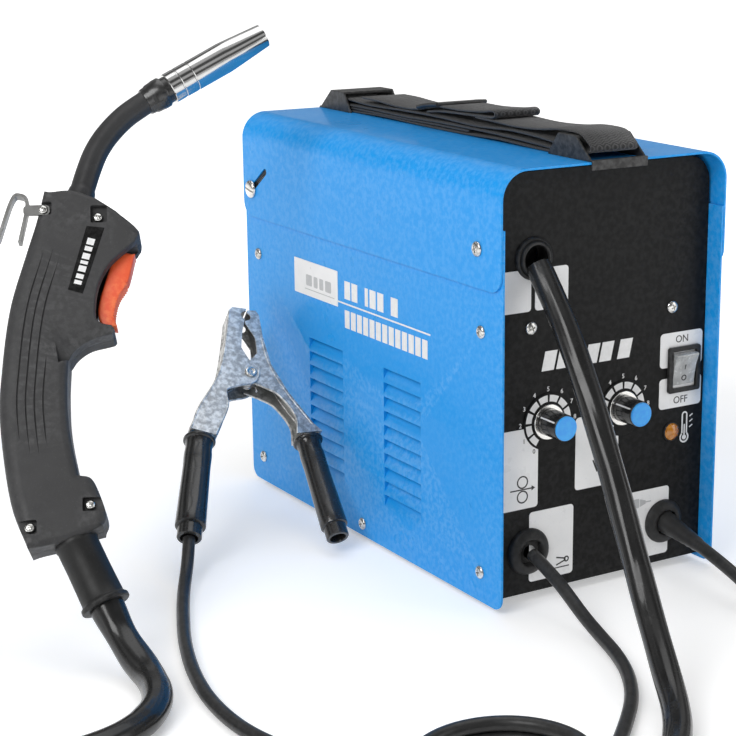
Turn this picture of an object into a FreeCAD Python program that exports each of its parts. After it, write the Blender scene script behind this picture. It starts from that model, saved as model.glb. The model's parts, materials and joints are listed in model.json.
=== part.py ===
import FreeCAD, Part
import math
import os

# Wire-feed welding machine with its torch, earth clamp and cables.
# Frame: origin on the floor under the middle of the case, +X to the right of somebody
# facing the front panel, -Y out of the front panel, +Z up.

V = FreeCAD.Vector
doc = FreeCAD.newDocument("WireWelder")

# ---------------------------------------------------------------- driving dimensions (mm, degrees)
DIMENSIONS = {
    "case_width": 187.7, "case_length": 368.1, "case_top": 303.0, "sheet": 1.5,
    "case_bottom": 3.0, "panel_recess": 14.1, "skirt_bottom": 222.1, "skirt_gap": 0.3,
    "lid_corner": 20.0, "skirt_corner": 12.0, "side_corner": 9.0, "side_top": 264.0,
    "latch_relief_top": 234.0, "latch_relief_start": 134.0, "front_top": 298.5, "front_bottom": 6.5,
    "pan_height": 14.0, "foot_radius": 10.0, "foot_x": 70.0, "foot_y": 140.0,
    "pivot_y": -156.5, "pivot_height": 248.4, "latch_y": 169.7, "latch_height": 244.0,
    "latch_travel_y": -23.2, "latch_travel_z": 16.3, "slot_width": 5.4,
    "louver_depth": 5.0, "louver_height": 8.6, "louver_pitch": 10.67, "louver_top": 140.5,
    "screw_head": 4.5, "screw_head_height": 2.0, "screw_shank": 2.0,
    "torch_x": -58.5, "torch_height": 240.6, "hose_size": 18.0, "grommet_radius": 14.5,
    "ground_x": -61.0, "mains_x": 56.5, "gland_height": 37.0, "cable_size": 9.0,
    "gland_radius": 16.5, "ground_gland_reach": 7.3, "mains_gland_reach": 6.0,
    "switch_x": 71.15, "switch_height": 147.85, "switch_width": 28.3, "switch_length": 33.1,
    "rocker_width": 20.0, "rocker_length": 26.0, "lamp_x": 62.0, "lamp_height": 102.8, "lamp_radius": 7.0,
    "dial_left": -45.5, "dial_right": 18.0, "dial_height": 127.0, "dial_radius": 20.0,
    "washer_radius": 12.0, "knob_radius": 9.5, "knob_length": 23.0, "knob_shaft": 3.0,
    "label_thickness": 0.4, "shelf_height": 176.0, "divider_x": -12.0,
    "spool_x": -58.0, "spool_y": 95.0, "spool_z": 236.0, "spool_radius": 50.0, "spool_width": 44.0,
    "feeder_y": -120.0, "drive_roll_radius": 15.0, "pressure_roller_radius": 11.0,
    "fan_height": 90.0, "fan_size": 92.0, "fan_depth": 25.0,
    "bracket_half_width": 23.0, "bracket_height": 15.5, "strap_width": 40.0,
    "torch_azimuth": -33.57, "torch_lean": 14.56, "torch_half_thickness": 15.0,
    "neck_radius": 8.25,
    "clamp_x": -138.0, "clamp_y": 97.0, "clamp_z": 110.0,
    "clamp_heading": -3.0, "clamp_slope": 40.5, "clamp_roll": -27.3, "clamp_width": 20.0,
}
sheet = doc.addObject("Spreadsheet::Sheet", "dims")
for row, (alias, value) in enumerate(DIMENSIONS.items(), start=1):
    sheet.set(f"A{row}", alias)
    sheet.set(f"B{row}", str(value))
    sheet.setAlias(f"B{row}", alias)
doc.recompute()

NODES = []


def size(alias):
    """A driving dimension, read from the sheet."""
    return float(sheet.get(alias))


def node(item, label):
    """Makes a document object one of the part's named pieces."""
    item.Label = label
    NODES.append(item)
    return item


# ---------------------------------------------------------------- bound primitives
AXIS_TURN = {
    "x": FreeCAD.Rotation(V(0, 1, 0), 90),
    "y": FreeCAD.Rotation(V(1, 0, 0), -90),
    "z": FreeCAD.Rotation(),
    "-x": FreeCAD.Rotation(V(0, 1, 0), -90),
    "-y": FreeCAD.Rotation(V(1, 0, 0), 90),
}


def place(item, at):
    """Binds an object's position to three formulas."""
    for letter, formula in zip("xyz", at):
        item.setExpression("Placement.Base." + letter, str(formula))


def block(name, x, y, z):
    """A box between pairs of bound low and high coordinates."""
    item = doc.addObject("Part::Box", name)
    for prop, (low, high) in zip(("Length", "Width", "Height"), (x, y, z)):
        item.setExpression(prop, f"({high}) - ({low})")
    place(item, (x[0], y[0], z[0]))
    return item


def rod(name, radius, length, at, axis="z"):
    """A cylinder from a point, along an axis."""
    item = doc.addObject("Part::Cylinder", name)
    item.setExpression("Radius", str(radius))
    item.setExpression("Height", str(length))
    item.Placement = FreeCAD.Placement(V(), AXIS_TURN[axis])
    place(item, at)
    return item


def taper(name, radius, end_radius, length, at, axis="z"):
    """A cone frustum from a point, along an axis."""
    item = doc.addObject("Part::Cone", name)
    item.setExpression("Radius1", str(radius))
    item.setExpression("Radius2", str(end_radius))
    item.setExpression("Height", str(length))
    item.Placement = FreeCAD.Placement(V(), AXIS_TURN[axis])
    place(item, at)
    return item


def fuse(name, *items):
    result = doc.addObject("Part::MultiFuse", name)
    result.Shapes = list(items)
    return result


def cut(name, base, *tools):
    result = doc.addObject("Part::Cut", name)
    result.Base = base
    result.Tool = tools[0] if len(tools) == 1 else fuse(name + "_tool", *tools)
    return result


def group(name, *items):
    result = doc.addObject("Part::Compound", name)
    result.Links = list(items)
    return result


def feature(name, shape, placement=None):
    """A piece whose shape neither primitives nor sketches suit."""
    item = doc.addObject("Part::Feature", name)
    item.Shape = shape
    if placement:
        item.Placement = placement
    return item


def prism(points, length, direction):
    """A flat closed outline, pushed along a direction."""
    outline = Part.makePolygon([V(*p) for p in points] + [V(*points[0])])
    return Part.Face(outline).extrude(V(*direction) * length)


def along(edge, axis):
    """True if an edge is straight and runs along an axis."""
    if not isinstance(edge.Curve, Part.Line):
        return False
    return abs(edge.Curve.Direction.dot(V(*axis))) > 0.999


# ---------------------------------------------------------------- derived positions
HALF_WIDTH = size("case_width") / 2
HALF_LENGTH = size("case_length") / 2
SHEET = size("sheet")
SIDE_OUT = HALF_WIDTH - SHEET - size("skirt_gap")
SIDE_IN = SIDE_OUT - SHEET
SIDE_IN_FORMULA = "(dims.case_width / 2 - 2 * dims.sheet - dims.skirt_gap - 0.15)"
FACE = "(-dims.case_length / 2 + dims.panel_recess)"
FRONT_FACE = -HALF_LENGTH + size("panel_recess")
FLANGE_DEPTH = 20.0


# ---------------------------------------------------------------- case
def base_pan():
    """A tray with upturned edges that the side panels screw to."""
    outer = block("pan_outer", (f"-{SIDE_IN_FORMULA}", SIDE_IN_FORMULA), (f"{FACE} + 2", f"-{FACE} - 2"),
                  ("dims.front_bottom", "dims.front_bottom + dims.pan_height"))
    inner = block("pan_inner", (f"-{SIDE_IN_FORMULA} + dims.sheet", f"{SIDE_IN_FORMULA} - dims.sheet"),
                  (f"{FACE} + 2 - 1", f"-{FACE} - 2 + 1"),
                  ("dims.front_bottom + dims.sheet", "dims.front_bottom + dims.pan_height + 1"))
    node(cut("base_pan", outer, inner), "base_pan")


def end_panel(name, side, holes):
    """A front or rear panel with rounded top corners and side flanges bent inward."""
    half = SIDE_IN - 0.15
    face = side * abs(FRONT_FACE)
    bottom = size("front_bottom") + (0 if side < 0 else size("sheet"))
    depth = FLANGE_DEPTH
    low = min(face, face - side * depth)
    shell = Part.makeBox(2 * half, depth, size("front_top") - bottom, V(-half, low, bottom))
    top_edges = [e for e in shell.Edges if along(e, (0, 1, 0)) and e.BoundBox.ZMin > bottom + 1]
    shell = shell.makeFillet(size("lid_corner") - 1, top_edges)
    hollow_low = low if side > 0 else low + SHEET
    hollow = Part.makeBox(2 * (half - SHEET), depth - SHEET, 400, V(-half + SHEET, hollow_low, 0))
    panel = shell.cut(hollow)
    pan_room = Part.makeBox(400, depth - 1.8, size("pan_height") + 1.5,
                            V(-200, hollow_low if side > 0 else low + 1.8, bottom - 0.5))
    lid_room = Part.makeBox(400, depth - SHEET, 60, V(-200, hollow_low, size("side_top") - 26))
    panel = panel.cut(pan_room).cut(lid_room)
    for hole in holes:
        panel = panel.cut(hole)
    node(feature(name, panel), name)


def bore(x, z, radius, side=-1):
    """A drill through an end panel."""
    face = side * abs(FRONT_FACE)
    return Part.makeCylinder(radius, 8, V(x, face - 4, z), V(0, 1, 0))


def front_panel():
    window = Part.makeBox(size("rocker_width") + 4, 8, size("rocker_length") + 3.5)
    window.translate(V(size("switch_x") - size("rocker_width") / 2 - 2, FRONT_FACE - 4,
                       size("switch_height") - size("rocker_length") / 2 - 1.75))
    holes = [
        bore(size("torch_x"), size("torch_height"), 11.0),
        bore(size("ground_x"), size("gland_height"), 9.5),
        bore(size("mains_x"), size("gland_height"), 9.5),
        bore(size("lamp_x"), size("lamp_height"), 5.0),
        bore(size("dial_left"), size("dial_height"), 4.2),
        bore(size("dial_right"), size("dial_height"), 4.2),
        window,
    ]
    holes += [bore(x, 193.6, size("screw_shank") + 0.2) for x in (-60, 60)]
    end_panel("front_panel", -1, holes)


def rear_panel():
    """The rear panel has rings of slots in front of the fan."""
    holes = [bore(x, 193.6, size("screw_shank") + 0.2, 1) for x in (-60, 60)]
    for ring, radius in enumerate((14, 24, 34)):
        count = 6 + 4 * ring
        for step in range(count):
            angle = 2 * math.pi * step / count
            holes.append(bore(radius * math.cos(angle), size("fan_height") + radius * math.sin(angle), 3.0, 1))
    latch_low = size("latch_height") - 9
    holes += [Part.makeBox(10, 40, 34, V(x, abs(FRONT_FACE) - 30, latch_low)) for x in (-93, 83)]
    end_panel("rear_panel", 1, holes)


SIDE_SCREWS = ((163.7, 192.6), (-158.7, 192.8), (163.8, 23.8), (2.4, 12.5), (-158.2, 24.2))
LOUVER_COLUMNS = ((29.5, 81.5), (-81.5, -30.5))
LOUVER_COUNT = 10


def louver(side, top, start, end):
    """The pressed scoop of one louver and the space in front of it."""
    outer = side * SIDE_OUT
    depth = -side * size("louver_depth")
    bottom = top - size("louver_height")
    scoop = prism([(outer, start - 1, bottom - 1.6), (outer + 1.25 * depth, start - 1, top),
                   (outer, start - 1, top)], end - start + 2, (0, 1, 0))
    space = prism([(outer - depth, start, bottom - size("louver_height")), (outer + depth, start, top + 0.2),
                   (outer - depth, start, top + 0.2)], end - start, (0, 1, 0))
    return scoop, space


def side_panel(name, side):
    """A flat side with two columns of inward louvers and a relief for the lid's latch."""
    low = min(side * SIDE_OUT, side * SIDE_IN)
    bottom = size("case_bottom")
    panel = Part.makeBox(SHEET, 2 * HALF_LENGTH, size("side_top") - bottom, V(low, -HALF_LENGTH, bottom))
    corners = [e for e in panel.Edges if along(e, (1, 0, 0)) and e.BoundBox.ZMin < bottom + 1]
    panel = panel.makeFillet(size("side_corner"), corners)
    panel = panel.cut(Part.makeBox(10, 100, 100, V(low - 5, size("latch_relief_start"), size("latch_relief_top"))))
    scoops = []
    spaces = []
    for start, end in LOUVER_COLUMNS:
        for index in range(LOUVER_COUNT):
            scoop, space = louver(side, size("louver_top") - index * size("louver_pitch"), start, end)
            scoops.append(scoop)
            spaces.append(space)
    panel = panel.fuse(scoops).cut(spaces)
    drills = [Part.makeCylinder(size("screw_shank") + 0.2, 10, V(low - 5, y, z), V(1, 0, 0)) for y, z in SIDE_SCREWS]
    drills.append(Part.makeCylinder(3.0, 10, V(low - 5, size("pivot_y"), size("pivot_height")), V(1, 0, 0)))
    node(feature(name, panel.cut(drills).removeSplitter()), name)


def latch_slot(side):
    """The slanted slot that a latch screw slides in."""
    start = V(0, size("latch_y"), size("latch_height"))
    travel = V(0, size("latch_travel_y"), size("latch_travel_z"))
    width = V(0, -travel.z, travel.y).normalize() * size("slot_width") / 2
    low = V(min(0, side * 200), 0, 0)
    corners = [start + width + low, start - width + low, start + travel - width + low, start + travel + width + low]
    slot = Part.Face(Part.makePolygon(corners + corners[:1])).extrude(V(200, 0, 0))
    for end in (start, start + travel):
        slot = slot.fuse(Part.makeCylinder(size("slot_width") / 2, 200, end + low, V(1, 0, 0)))
    return slot


def lid():
    """A channel with rounded shoulders whose skirts hang outside the side panels."""
    height = size("case_top") - size("skirt_bottom")
    start = V(-HALF_WIDTH, -HALF_LENGTH, size("skirt_bottom"))
    outer = Part.makeBox(2 * HALF_WIDTH, 2 * HALF_LENGTH, height, start)
    shoulders = [e for e in outer.Edges if along(e, (0, 1, 0)) and e.BoundBox.ZMin > size("case_top") - 1]
    outer = outer.makeFillet(size("lid_corner"), shoulders)
    corners = [e for e in outer.Edges if along(e, (1, 0, 0)) and e.BoundBox.ZMin < size("skirt_bottom") + 1]
    outer = outer.makeFillet(size("skirt_corner"), corners)
    inner = Part.makeBox(2 * (HALF_WIDTH - SHEET), 2 * HALF_LENGTH + 2, height - SHEET + 1, start + V(SHEET, -1, -1))
    inner_edges = [e for e in inner.Edges if along(e, (0, 1, 0)) and e.BoundBox.ZMin > size("case_top") - 3]
    inner = inner.makeFillet(size("lid_corner") - SHEET, inner_edges)
    hinge_hole = Part.makeCylinder(3.2, 400, V(-200, size("pivot_y"), size("pivot_height")), V(1, 0, 0))
    shell = outer.cut(inner).cut([hinge_hole, latch_slot(-1), latch_slot(1)])
    node(feature("lid", shell), "lid")


def side_screw(side, y, z, head=None, out=None):
    """A pan-head screw standing on a side wall."""
    out = out or "(dims.case_width / 2 - dims.sheet - dims.skirt_gap)"
    axis = "x" if side > 0 else "-x"
    sign = "" if side > 0 else "-"
    head = head or "dims.screw_head"
    cap = taper("screw_cap", head, f"{head} * 0.72", "dims.screw_head_height", (f"{sign}{out}", y, z), axis)
    shank = rod("screw_shank", "dims.screw_shank", "10", (f"{sign}({out} - 10)", y, z), axis)
    return fuse("side_screw", cap, shank)


def screws():
    """Fasteners of the case and the two pivot screws of the lid."""
    items = []
    for side in (-1, 1):
        items += [side_screw(side, y, z) for y, z in SIDE_SCREWS]
    for x in (-60, 60):
        cap = taper("screw_cap", "dims.screw_head", "dims.screw_head * 0.72", "dims.screw_head_height",
                    (x, FACE, 193.6), "-y")
        shank = rod("screw_shank", "dims.screw_shank", "8", (x, f"{FACE} + 8", 193.6), "-y")
        items.append(fuse("front_screw", cap, shank))
        cap = taper("screw_cap", "dims.screw_head", "dims.screw_head * 0.72", "dims.screw_head_height",
                    (x, f"-{FACE}", 193.6), "y")
        shank = rod("screw_shank", "dims.screw_shank", "8", (x, f"-{FACE} - 8", 193.6), "y")
        items.append(fuse("rear_screw", cap, shank))
    node(group("case_screws", *items), "case_screws")
    pivots = []
    for side in (-1, 1):
        sign = "" if side > 0 else "-"
        axis = "x" if side > 0 else "-x"
        cap = taper("pivot_cap", "5", "3.8", "2.2", (f"{sign}(dims.case_width / 2 + 0.2)", "dims.pivot_y",
                                                     "dims.pivot_height"), axis)
        shank = rod("pivot_shank", "3", "14.2", (f"{sign}(dims.case_width / 2 - 14)", "dims.pivot_y",
                                                 "dims.pivot_height"), axis)
        pivots.append(fuse("pivot_screw", cap, shank))
    node(group("lid_pivot_screws", *pivots), "lid_pivot_screws")


def rubber_feet():
    feet = []
    for sign_x in ("-", ""):
        for sign_y in ("-", ""):
            feet.append(rod("foot", "dims.foot_radius", "dims.front_bottom",
                            (f"{sign_x}dims.foot_x", f"{sign_y}dims.foot_y", "0")))
    node(group("rubber_feet", *feet), "rubber_feet")


def latch_screw(name, side):
    """A coin screw with a washer inside the skirt; it slides along the lid's slot."""
    sign = "" if side > 0 else "-"
    axis = "x" if side > 0 else "-x"
    at = ("dims.latch_y", "dims.latch_height")
    head = taper("latch_head", "7.2", "5.6", "3.6", (f"{sign}(dims.case_width / 2 + 0.2)", *at), axis)
    shank = rod("latch_shank", "dims.slot_width / 2 - 0.3", "8", (f"{sign}(dims.case_width / 2 - 7.6)", *at), axis)
    nut = rod("latch_nut", "5.5", "3", (f"{sign}(dims.case_width / 2 - dims.sheet - 3.3)", *at), axis)
    node(fuse(name, head, shank, nut), name)


# ---------------------------------------------------------------- lid furniture
BRACKET_SPANS = ((-184.5, -166.0, -146.0, -134.5), (184.5, 166.0, 146.0, 134.5))


def strap_brackets():
    """Two bent bridges that hold the strap down at the ends of the lid."""
    half = size("bracket_half_width")
    top = size("case_top")
    rise = size("bracket_height")
    bridges = []
    for edge, crest, rear_crest, rear in BRACKET_SPANS:
        sign = 1 if edge > 0 else -1
        side = prism([(0, edge, top), (0, crest, top + rise), (0, rear_crest, top + rise), (0, rear, top)],
                     2 * half, (1, 0, 0))
        side.translate(V(-half, 0, 0))
        tunnel = prism([(0, edge + sign * 5, top - 1), (0, edge + sign * 5, top + rise - 1.6),
                        (0, rear - sign * 5, top + rise - 1.6), (0, rear - sign * 5, top - 1)],
                       2 * half - 3.2, (1, 0, 0))
        tunnel.translate(V(-half + 1.6, 0, 0))
        lip = Part.makeBox(2 * half, 1.2, 6.5, V(-half, min(edge, edge + sign * 1.2), top - 5.3))
        tongue = Part.makeBox(2 * half, 4, 1.2, V(-half, min(edge - sign * 2.8, edge + sign * 1.2), top))
        bridge = side.cut(tunnel)
        bridges.append(bridge.fuse([lip, tongue]))
    node(feature("strap_brackets", Part.makeCompound(bridges)), "strap_brackets")


def carry_strap():
    """The folded carrying strap: its outer shape, lying between and over the brackets."""
    half = size("strap_width") / 2
    top = size("case_top")
    low = top + 0.3
    outline = [(0, -181.0, low), (0, 181.0, low), (0, 181.0, low + 11), (0, 140.0, low + 11),
               (0, 120.0, low + 16), (0, -120.0, low + 16), (0, -140.0, low + 11), (0, -181.0, low + 11)]
    strap = prism(outline, 2 * half, (1, 0, 0))
    strap.translate(V(-half, 0, 0))
    node(feature("carry_strap", strap), "carry_strap")


# ---------------------------------------------------------------- front panel furniture
LABELS = ((-84.8, -30.0, 205.0, 233.5), (50.4, 88.2, 120.0, 175.0), (-92.0, -53.3, 68.0, 124.5),
          (-21.9, 15.0, 73.4, 125.5), (25.5, 61.6, 12.4, 63.0), (-60.0, -22.9, 14.0, 64.4))
SIDE_PLATE = (35.0, 103.0, 173.5, 200.5)


def panel_labels():
    """Thin plates on the front and sides, clear of the controls that pass through them."""
    thick = size("label_thickness")
    plates = []
    for left, right, low, high in LABELS:
        left = max(left, -SIDE_IN + 0.5)
        plate = Part.makeBox(right - left, thick, high - low, V(left, FRONT_FACE - thick, low))
        plates.append(plate)
    clear = [Part.makeCylinder(size("gland_radius") + 0.2, 4, V(x, FRONT_FACE - 2, size("gland_height")), V(0, 1, 0))
             for x in (size("ground_x"), size("mains_x"))]
    clear += [Part.makeCylinder(size("dial_radius") + 0.2, 4, V(x, FRONT_FACE - 2, size("dial_height")), V(0, 1, 0))
              for x in (size("dial_left"), size("dial_right"))]
    clear.append(Part.makeCylinder(size("grommet_radius") + 0.2, 4,
                                   V(size("torch_x"), FRONT_FACE - 2, size("torch_height")), V(0, 1, 0)))
    clear.append(Part.makeCylinder(size("lamp_radius") + 0.2, 4,
                                   V(size("lamp_x"), FRONT_FACE - 2, size("lamp_height")), V(0, 1, 0)))
    clear.append(Part.makeBox(size("switch_width") + 0.4, 4, size("switch_length") + 0.4,
                              V(size("switch_x") - size("switch_width") / 2 - 0.2, FRONT_FACE - 2,
                                size("switch_height") - size("switch_length") / 2 - 0.2)))
    solids = [plate.cut(clear) for plate in plates]
    for x in (size("dial_left"), size("dial_right")):
        disc = Part.makeCylinder(size("dial_radius"), 1.0, V(x, FRONT_FACE - 1.0, size("dial_height")), V(0, 1, 0))
        hole = Part.makeCylinder(4.2, 3, V(x, FRONT_FACE - 2, size("dial_height")), V(0, 1, 0))
        solids.append(disc.cut(hole))
    start, end, low, high = SIDE_PLATE
    for side in (-1, 1):
        solids.append(Part.makeBox(thick, end - start, high - low,
                                   V(min(side * SIDE_OUT, side * (SIDE_OUT + thick)), start, low)))
    node(feature("panel_labels", Part.makeCompound(solids)), "panel_labels")


def fitting(name, x, z, radius, reach, hole, inner):
    """A tapered cable bush through the front panel, with a nut behind it."""
    flange = taper(name + "_flange", radius, f"{radius} * 0.78", reach, (x, FACE, z), "-y")
    neck = rod(name + "_neck", inner, "dims.sheet + 0.2", (x, f"{FACE} + dims.sheet + 0.1", z), "-y")
    nut = rod(name + "_nut", f"{inner} + 3", "6", (x, f"{FACE} + dims.sheet + 6.05", z), "-y")
    bore_rod = rod(name + "_bore", hole, "60", (x, f"{FACE} + 30", z), "-y")
    node(cut(name, fuse(name + "_body", flange, neck, nut), bore_rod), name)


def fittings():
    fitting("torch_grommet", "dims.torch_x", "dims.torch_height", "dims.grommet_radius", "5",
            "dims.hose_size / 2 + 0.1", "10.8")
    fitting("ground_gland", "dims.ground_x", "dims.gland_height", "dims.gland_radius",
            "dims.ground_gland_reach", "dims.cable_size / 2 + 0.1", "9.3")
    fitting("mains_gland", "dims.mains_x", "dims.gland_height", "dims.gland_radius - 0.5",
            "dims.mains_gland_reach", "dims.cable_size / 2 + 0.1", "9.3")
    lens = taper("lens_cap", "dims.lamp_radius", "dims.lamp_radius * 0.8", "3",
                 ("dims.lamp_x", FACE, "dims.lamp_height"), "-y")
    body = rod("lens_body", "4.8", "16", ("dims.lamp_x", f"{FACE} + 16", "dims.lamp_height"), "-y")
    node(fuse("lamp_lens", lens, body), "lamp_lens")


def power_switch():
    """A rocker switch: a bezel with a body behind the panel, and the rocker in it."""
    centre = V(size("switch_x"), FRONT_FACE, size("switch_height"))
    width = size("switch_width")
    length = size("switch_length")
    bezel = Part.makeBox(width, 3.0, length, centre - V(width / 2, 3.0, length / 2))
    bezel = bezel.makeFillet(2.0, [e for e in bezel.Edges if along(e, (0, 1, 0))])
    body_width = size("rocker_width") + 3.6
    body_length = size("rocker_length") + 3.2
    body = Part.makeBox(body_width, 24, body_length, centre - V(body_width / 2, 0, body_length / 2))
    room = Part.makeBox(size("rocker_width") + 0.8, 20, size("rocker_length") + 0.8,
                        centre - V(size("rocker_width") / 2 + 0.4, 4, size("rocker_length") / 2 + 0.4))
    node(feature("switch_housing", bezel.fuse(body).cut(room)), "switch_housing")
    half = size("rocker_length") / 2 - 0.8
    profile = [V(0, -1.0, -half + 0.4), V(0, -1.8, 0), V(0, -7.0, half - 1.2), V(0, -2.4, half), V(0, 2.5, half - 2.0),
               V(0, 7.0, 0), V(0, 4.5, -half + 2.0)]
    rocker = Part.Face(Part.makePolygon(profile + profile[:1])).extrude(V(size("rocker_width"), 0, 0))
    rocker.translate(centre - V(size("rocker_width") / 2, 0, 0))
    node(feature("switch_rocker", rocker), "switch_rocker")


def knob(name, x):
    """A round control knob that turns on the potentiometer's spindle."""
    body = taper(name + "_body", "dims.knob_radius", "dims.knob_radius * 0.93", "dims.knob_length - 3",
                 (x, f"{FACE} - 2.6", "dims.dial_height"), "-y")
    cap = taper(name + "_cap", "dims.knob_radius * 0.9", "dims.knob_radius * 0.8", "2",
                (x, f"{FACE} - 0.6 - dims.knob_length + 1", "dims.dial_height"), "-y")
    hole = rod(name + "_hole", "dims.knob_shaft + 0.2", "14", (x, f"{FACE} - 2", "dims.dial_height"), "-y")
    node(cut(name, fuse(name + "_solid", body, cap), hole), name)


def control_board():
    """The board behind the front panel, with the two potentiometers that carry the knobs."""
    board = block("board", (-70, 40), (f"{FACE} + 15", f"{FACE} + 16.6"), (96, 158))
    capacitors = [rod("capacitor", "6", "18", (x, f"{FACE} + 16.6", 145), "y") for x in (-55, -35, 0)]
    chip = block("chip", (-25, -5), (f"{FACE} + 16.6", f"{FACE} + 21"), (108, 124))
    items = [fuse("board_solid", board, chip, *capacitors)]
    for x in ("dims.dial_left", "dims.dial_right"):
        can = rod("pot_can", "8.5", "11", (x, f"{FACE} + 14.9", "dims.dial_height"), "-y")
        bush = rod("pot_bush", "4", "6.4", (x, f"{FACE} + 4", "dims.dial_height"), "-y")
        washer = rod("pot_washer", "dims.washer_radius", "1.2", (x, f"{FACE} - 1.05", "dims.dial_height"), "-y")
        spindle = rod("pot_spindle", "dims.knob_shaft", "18", (x, f"{FACE} + 4", "dims.dial_height"), "-y")
        items.append(fuse("potentiometer", can, bush, washer, spindle))
    node(group("control_board", *items), "control_board")


# ---------------------------------------------------------------- inside the case
ARM_PIVOT = (-95.0, 256.0)


def wire_bay():
    """The shelf, divider, spool hub and wire drive under the lid."""
    shelf = block("shelf", (-88, 88), (-146, 140), ("dims.shelf_height", "dims.shelf_height + dims.sheet"))
    node(group("inner_shelf", shelf), "inner_shelf")
    plate = block("divider", ("dims.divider_x", "dims.divider_x + dims.sheet"), (-60, 146),
                  ("dims.shelf_height + dims.sheet + 0.05", 280))
    hub = rod("hub", "7.5", "74", ("dims.divider_x + 0.5", "dims.spool_y", "dims.spool_z"), "-x")
    node(fuse("spool_holder", plate, hub), "spool_holder")
    spool_low = "dims.spool_x - dims.spool_width / 2"
    at = ("dims.spool_y", "dims.spool_z")
    core = rod("spool_core", 24, "dims.spool_width", (spool_low, *at), "x")
    rims = [rod("spool_rim", "dims.spool_radius", "2.5", (start, *at), "x")
            for start in (spool_low, "dims.spool_x + dims.spool_width / 2 - 2.5")]
    winding = rod("winding", "dims.spool_radius - 8", "dims.spool_width - 4", ("dims.spool_x - dims.spool_width / 2 + 2",
                                                                              *at), "x")
    hole = rod("spool_hole", "7.8", "dims.spool_width + 4", ("dims.spool_x - dims.spool_width / 2 - 2", *at), "x")
    node(cut("wire_spool", fuse("spool_solid", core, winding, *rims), hole), "wire_spool")
    wire_line = "dims.torch_height"
    roll_z = f"({wire_line} - dims.drive_roll_radius)"
    mount = block("feeder_plate", (-49, -44), (-152, -88), ("dims.shelf_height + dims.sheet + 0.05", 236))
    foot = block("feeder_foot", (-49, -20), (-152, -88), ("dims.shelf_height + dims.sheet + 0.05",
                                                         "dims.shelf_height + dims.sheet + 3"))
    ear = block("arm_ear", (-49, -44), (-100, -88), (235, 264))
    pivot = rod("arm_pivot", 2, 8.5, ("-48", ARM_PIVOT[0], ARM_PIVOT[1]), "-x")
    posts = [block("guide_post", (-62, -44), (start, start + 8), (222, 246)) for start in (-152, -96)]
    guide_hole = rod("guide_hole", 1.2, 80, ("dims.torch_x", -155, wire_line), "y")
    shaft_hole = rod("shaft_hole", 4.4, 20, (-55, "dims.feeder_y", roll_z), "x")
    node(cut("feeder_body", fuse("feeder_solid", mount, foot, ear, pivot, *posts), guide_hole, shaft_hole), "feeder_body")
    roll = rod("roll", "dims.drive_roll_radius", 9, (-63, "dims.feeder_y", roll_z), "x")
    shaft = rod("roll_shaft", 4, 44, (-63, "dims.feeder_y", roll_z), "x")
    node(fuse("drive_roll", roll, shaft), "drive_roll")
    motor = rod("motor_can", 22, 62, (-18.9, "dims.feeder_y", roll_z), "x")
    node(group("feed_motor", motor), "feed_motor")
    roller_z = f"({wire_line} + dims.pressure_roller_radius + 0.9)"
    roller = rod("roller", "dims.pressure_roller_radius", 8, (-62.5, "dims.feeder_y", roller_z), "x")
    bearing = rod("roller_bore", 3.05, 20, (-70, "dims.feeder_y", roller_z), "x")
    node(cut("pressure_roller", roller, bearing), "pressure_roller")
    arm = block("arm_bar", (-54, -49.4), (-128, -92), (248, 262))
    pin = rod("arm_pin", 3, 12, (-63, "dims.feeder_y", roller_z), "x")
    pivot_hole = rod("arm_hole", 2.05, 20, (-60, ARM_PIVOT[0], ARM_PIVOT[1]), "x")
    node(cut("pressure_arm", fuse("arm_solid", arm, pin), pivot_hole), "pressure_arm")


def power_pack():
    """The transformer on the base pan."""
    pan = "(dims.front_bottom + dims.sheet + 0.05)"
    core = block("core", (-45, 45), (-40, 20), (pan, f"{pan} + 96"))
    windows = [block("core_window", (low, low + 17), (-41, 21), (f"{pan} + 16", f"{pan} + 80")) for low in (-31, 14)]
    node(cut("transformer_core", core, *windows), "transformer_core")
    coil = block("coil", (-30.5, 30.5), (-54, 34), (f"{pan} + 17", f"{pan} + 79"))
    room = block("coil_room", (-14.5, 14.5), (-40.5, 20.5), (f"{pan} + 16", f"{pan} + 80"))
    node(cut("transformer_windings", coil, room), "transformer_windings")


def fan():
    """An axial fan behind the rear panel."""
    half = size("fan_size") / 2
    rear = abs(FRONT_FACE) - SHEET - 0.1
    depth = size("fan_depth")
    centre = size("fan_height")
    frame = Part.makeBox(2 * half, depth, 2 * half, V(-half, rear - depth, centre - half))
    duct = Part.makeCylinder(half - 3, depth - 3, V(0, rear - depth - 0.01, centre), V(0, 1, 0))
    mouth = Part.makeCylinder(half - 3, 10, V(0, rear - 5, centre), V(0, 1, 0))
    spokes = [Part.makeBox(2 * half - 4, 2.6, 5, V(-half + 2, rear - 2.8, centre - 2.5)),
              Part.makeBox(5, 2.6, 2 * half - 4, V(-2.5, rear - 2.8, centre - half + 2))]
    stator = Part.makeCylinder(15, 2.6, V(0, rear - 2.8, centre), V(0, 1, 0))
    node(feature("fan_housing", frame.cut([duct, mouth]).fuse(spokes + [stator])), "fan_housing")
    hub = Part.makeCylinder(16, 16, V(0, rear - depth + 3, centre), V(0, 1, 0))
    blades = []
    for index in range(7):
        blade = Part.makeBox(1.6, 13, 26, V(-0.8, -6.5, 14))
        blade.rotate(V(0, 0, 0), V(0, 0, 1), 38)
        blade.rotate(V(0, 0, 0), V(0, 1, 0), 360 * index / 7)
        blade.translate(V(0, rear - depth + 11, centre))
        blades.append(blade)
    node(feature("fan_rotor", hub.fuse(blades)), "fan_rotor")


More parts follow.
